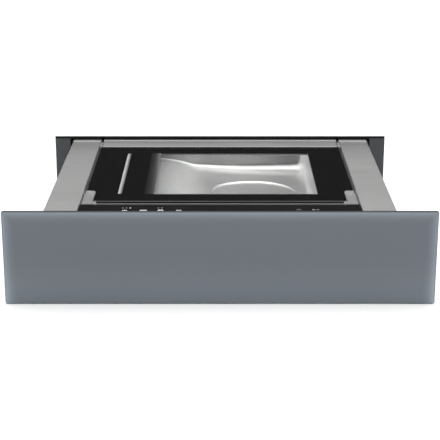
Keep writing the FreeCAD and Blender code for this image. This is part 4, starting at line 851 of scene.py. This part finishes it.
# foot bend, from the floor up
for step in range(0, 9):
    a = (1 - step / 8) * math.pi / 2
    loop = []
    for i, j, ox, oy, nx, ny, px, py, r, z0 in prof:
        d = r * (1 - math.cos(a))
        x, y = ox + nx * d, oy + ny * d
        zf = floor_at(x)
        z = zf + r * (1 - math.sin(a))
        bd = r - (r + THICK) * math.cos(a)
        bz = zf + r - (r + THICK) * math.sin(a)
        loop.append(add((x, y, z), (ox + nx * bd, oy + ny * bd, bz)))
    loops.append(loop)
for share in (0.5, 1.0):
    loop = []
    for i, j, ox, oy, nx, ny, px, py, r, z0 in prof:
        z1 = z0 + r
        z = z1 + (PLATE - RIM - z1) * share
        loop.append(add((ox, oy, z), (ox - nx * THICK, oy - ny * THICK, min(z, PLATE - THICK - 0.02))))
    loops.append(loop)
for step in range(1, 6):
    a = step / 5 * math.pi / 2
    loop = []
    for i, j, ox, oy, nx, ny, px, py, r, z0 in prof:
        d = RIM * (1 - math.cos(a))
        loop.append(add((ox - nx * d, oy - ny * d, PLATE - RIM + RIM * math.sin(a)),
                        (ox - nx * (THICK + 0.05 * step), oy - ny * (THICK + 0.05 * step), PLATE - THICK)))
    loops.append(loop)
loop = []
for i, j, ox, oy, nx, ny, px, py, r, z0 in prof:
    loop.append(add((px, py, PLATE), (px, py, PLATE - THICK)))
loops.append(loop)
prev = [grid[p] for p in edge_ring]
for loop in loops:
    strip(loop, prev)
    prev = loop

count = len(top)
under = [tuple(k + count for k in reversed(face)) for face in faces]
used = {}
for face in faces:
    for a, b in zip(face, face[1:] + face[:1]):
        used[a, b] = used.get((a, b), 0) + 1
walls = [(b, a, a + count, b + count) for (a, b) in used if (b, a) not in used]
verts = [row(*p) for p in top + low]
tray = make("chamber_tray_pressed", verts, faces + under + walls, F["tray"].mat, "drawer", 2e-6)

# the flat surround with the lid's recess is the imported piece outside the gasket's middle line
surround = nodes["chamber_tray"].data.copy()
bm = bmesh.new()
bm.from_mesh(surround)
bmesh.ops.remove_doubles(bm, verts=bm.verts, dist=1e-7)
x0, y0, _ = row(WL - PL, WF - PL, 0)
x1, y1, _ = row(WR + PL, WB + PL, 0)
for co, no in (((x0, 0, 0), (1, 0, 0)), ((x1, 0, 0), (1, 0, 0)), ((0, y0, 0), (0, 1, 0)), ((0, y1, 0), (0, 1, 0))):
    bmesh.ops.bisect_plane(bm, geom=bm.verts[:] + bm.edges[:] + bm.faces[:], plane_co=co, plane_no=no, dist=1e-7)
gone = []
for face in bm.faces:
    c = face.calc_center_median()
    if x0 < c.x < x1 and y0 < c.y < y1:
        gone.append(face)
bmesh.ops.delete(bm, geom=gone, context="FACES")
open_edges = [e for e in bm.edges if e.is_boundary]
bmesh.ops.bridge_loops(bm, edges=open_edges)
bmesh.ops.recalc_face_normals(bm, faces=bm.faces)
bm.to_mesh(surround)
bm.free()
if "custom_normal" in surround.attributes:
    surround.attributes.remove(surround.attributes["custom_normal"])
frame_obj = bpy.data.objects.new("chamber_tray_surround", surround)
surround.name = "chamber_tray_surround"
scene.collection.objects.link(frame_obj)
surround.materials.clear()
surround.materials.append(F["land"].mat)
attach(frame_obj, "drawer")
shaded(tray, 40.0)
shaded(frame_obj, 40.0)
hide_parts("chamber_tray")
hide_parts("chamber_tray")


# ---------------------------------------------------------------- the lid's print, fused a hair into the glass above it
ink = nodes["lid_film"].data.copy()
ink.name = "lid_print"
for v in ink.vertices:
    if v.co.z > 0.1142:
        v.co.z = 0.11432
ink.update()
ink_obj = bpy.data.objects.new("lid_print", ink)
scene.collection.objects.link(ink_obj)
ink.materials.clear()
ink.materials.append(F["film"].mat)
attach(ink_obj, "lid")
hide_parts("lid_film")


# ---------------------------------------------------------------- signs printed on the touch pane
def printed(name, shapes, material, z=119.0, thick=0.06):
    """Flat outlines raised by the thickness of the ink. Each shape is a list of outer points and maybe one of inner points."""
    verts, faces = [], []
    for shape in shapes:
        outer, inner = shape if isinstance(shape, tuple) else (shape, None)
        n = len(outer)
        base = len(verts)
        if inner is None:
            verts += [row(x, y, z - 0.02) for x, y in outer] + [row(x, y, z + thick) for x, y in outer]
            faces.append(tuple(base + n + k for k in range(n)))
            faces.append(tuple(base + k for k in reversed(range(n))))
            faces += [(base + k, base + (k + 1) % n, base + n + (k + 1) % n, base + n + k) for k in range(n)]
        else:
            verts += [row(x, y, z - 0.02) for x, y in outer] + [row(x, y, z + thick) for x, y in outer]
            verts += [row(x, y, z - 0.02) for x, y in inner] + [row(x, y, z + thick) for x, y in inner]
            o0, o1, q0, q1 = base, base + n, base + 2 * n, base + 3 * n
            for k in range(n):
                m = (k + 1) % n
                faces += [(o0 + k, o0 + m, o1 + m, o1 + k), (o1 + k, o1 + m, q1 + m, q1 + k), (q1 + k, q1 + m, q0 + m, q0 + k),
                          (q0 + k, q0 + m, o0 + m, o0 + k)]
    return make(name, verts, faces, material, "drawer")


def circle(cx, cy, rx, ry=None, n=36, a0=0.0, a1=2 * math.pi):
    ry = rx if ry is None else ry
    full = abs(a1 - a0 - 2 * math.pi) < 1e-6
    k = n if full else n + 1
    return [(cx + rx * math.cos(a0 + (a1 - a0) * i / n), cy + ry * math.sin(a0 + (a1 - a0) * i / n)) for i in range(k)]


def annulus(cx, cy, r, w, n=36):
    return circle(cx, cy, r, n=n), circle(cx, cy, r - w, n=n)


def arc_band(cx, cy, r, w, a0, a1, n=20):
    a0, a1 = math.radians(a0), math.radians(a1)
    out = [(cx + r * math.cos(a0 + (a1 - a0) * i / n), cy + r * math.sin(a0 + (a1 - a0) * i / n)) for i in range(n + 1)]
    inn = [(cx + (r - w) * math.cos(a1 - (a1 - a0) * i / n), cy + (r - w) * math.sin(a1 - (a1 - a0) * i / n)) for i in range(n + 1)]
    return out + inn


def bar_shape(x0, y0, x1, y1, w):
    dx, dy = x1 - x0, y1 - y0
    l = math.hypot(dx, dy)
    ux, uy = dx / l * w / 2, dy / l * w / 2
    return [(x0 - ux - uy, y0 - uy + ux), (x0 - ux + uy, y0 - uy - ux), (x1 + ux + uy, y1 + uy - ux), (x1 + ux - uy, y1 + uy + ux)]


SY = 53.6
# start: ring broken at the top with a bar in it
printed("sign_start", [arc_band(-134.2, SY, 3.5, 1.2, -235, 55), bar_shape(-134.2, SY + 0.8, -134.2, SY + 4.2, 1.2)], F["sign"].mat)
# bag: outline with a sealed seam
printed("sign_bag", [bar_shape(-112.0, SY - 3.0, -103.6, SY - 3.0, 1.3), bar_shape(-112.0, SY + 3.0, -103.6, SY + 3.0, 1.3),
                     bar_shape(-112.0, SY - 2.2, -112.0, SY + 2.2, 1.3), bar_shape(-103.6, SY - 2.2, -103.6, SY + 2.2, 1.3),
                     bar_shape(-110.0, SY + 0.6, -105.6, SY + 0.6, 1.1)], F["sign"].mat)
# jar: body and lid
printed("sign_jar", [bar_shape(-86.5, SY - 3.4, -80.9, SY - 3.4, 1.3), bar_shape(-87.1, SY - 2.6, -87.1, SY + 1.6, 1.3),
                     bar_shape(-80.3, SY - 2.6, -80.3, SY + 1.6, 1.3), bar_shape(-85.9, SY + 2.0, -81.5, SY + 2.0, 1.2),
                     bar_shape(-86.3, SY + 3.9, -81.1, SY + 3.9, 1.3)], F["sign"].mat)
# seam: heat waves over a bar
printed("sign_seam", [bar_shape(-62.3, SY - 3.2, -54.9, SY - 3.2, 1.4)] + [
    arc_band(cx_, SY - 0.4, 1.6, 1.0, 90, 270, 10) for cx_ in (-60.5, -57.8, -55.1)] + [
    arc_band(cx_, SY + 2.2, 1.6, 1.0, -90, 90, 10) for cx_ in (-61.3, -58.6, -55.9)], F["sign"].mat)
# level lights beside the signs
for n, (lx, tone) in enumerate(((-137.2, "sign_dim"), (-132.0, "sign_dim"), (-126.7, "sign"), (-87.1, "sign_dim"), (-81.9, "sign_dim"))):
    printed(f"level_light_{n + 1}", [circle(lx, 66.6, 1.2, n=24)], F[tone].mat)
# two small dim signs at the right: a key and a drop
printed("sign_lock", [bar_shape(108.4, SY + 4.4, 113.6, SY + 4.4, 2.4), arc_band(111.0, SY + 6.2, 2.2, 0.8, 0, 180)], F["sign_faint"].mat)
printed("sign_dry", [arc_band(132.2, SY + 5.0, 2.6, 1.1, 40, 320), bar_shape(135.4, SY + 5.0, 139.4, SY + 5.0, 1.2),
                     bar_shape(138.2, SY + 3.8, 138.2, SY + 6.2, 1.1)], F["sign_dim"].mat)

# ---------------------------------------------------------------- the end
bpy.context.view_layer.update()
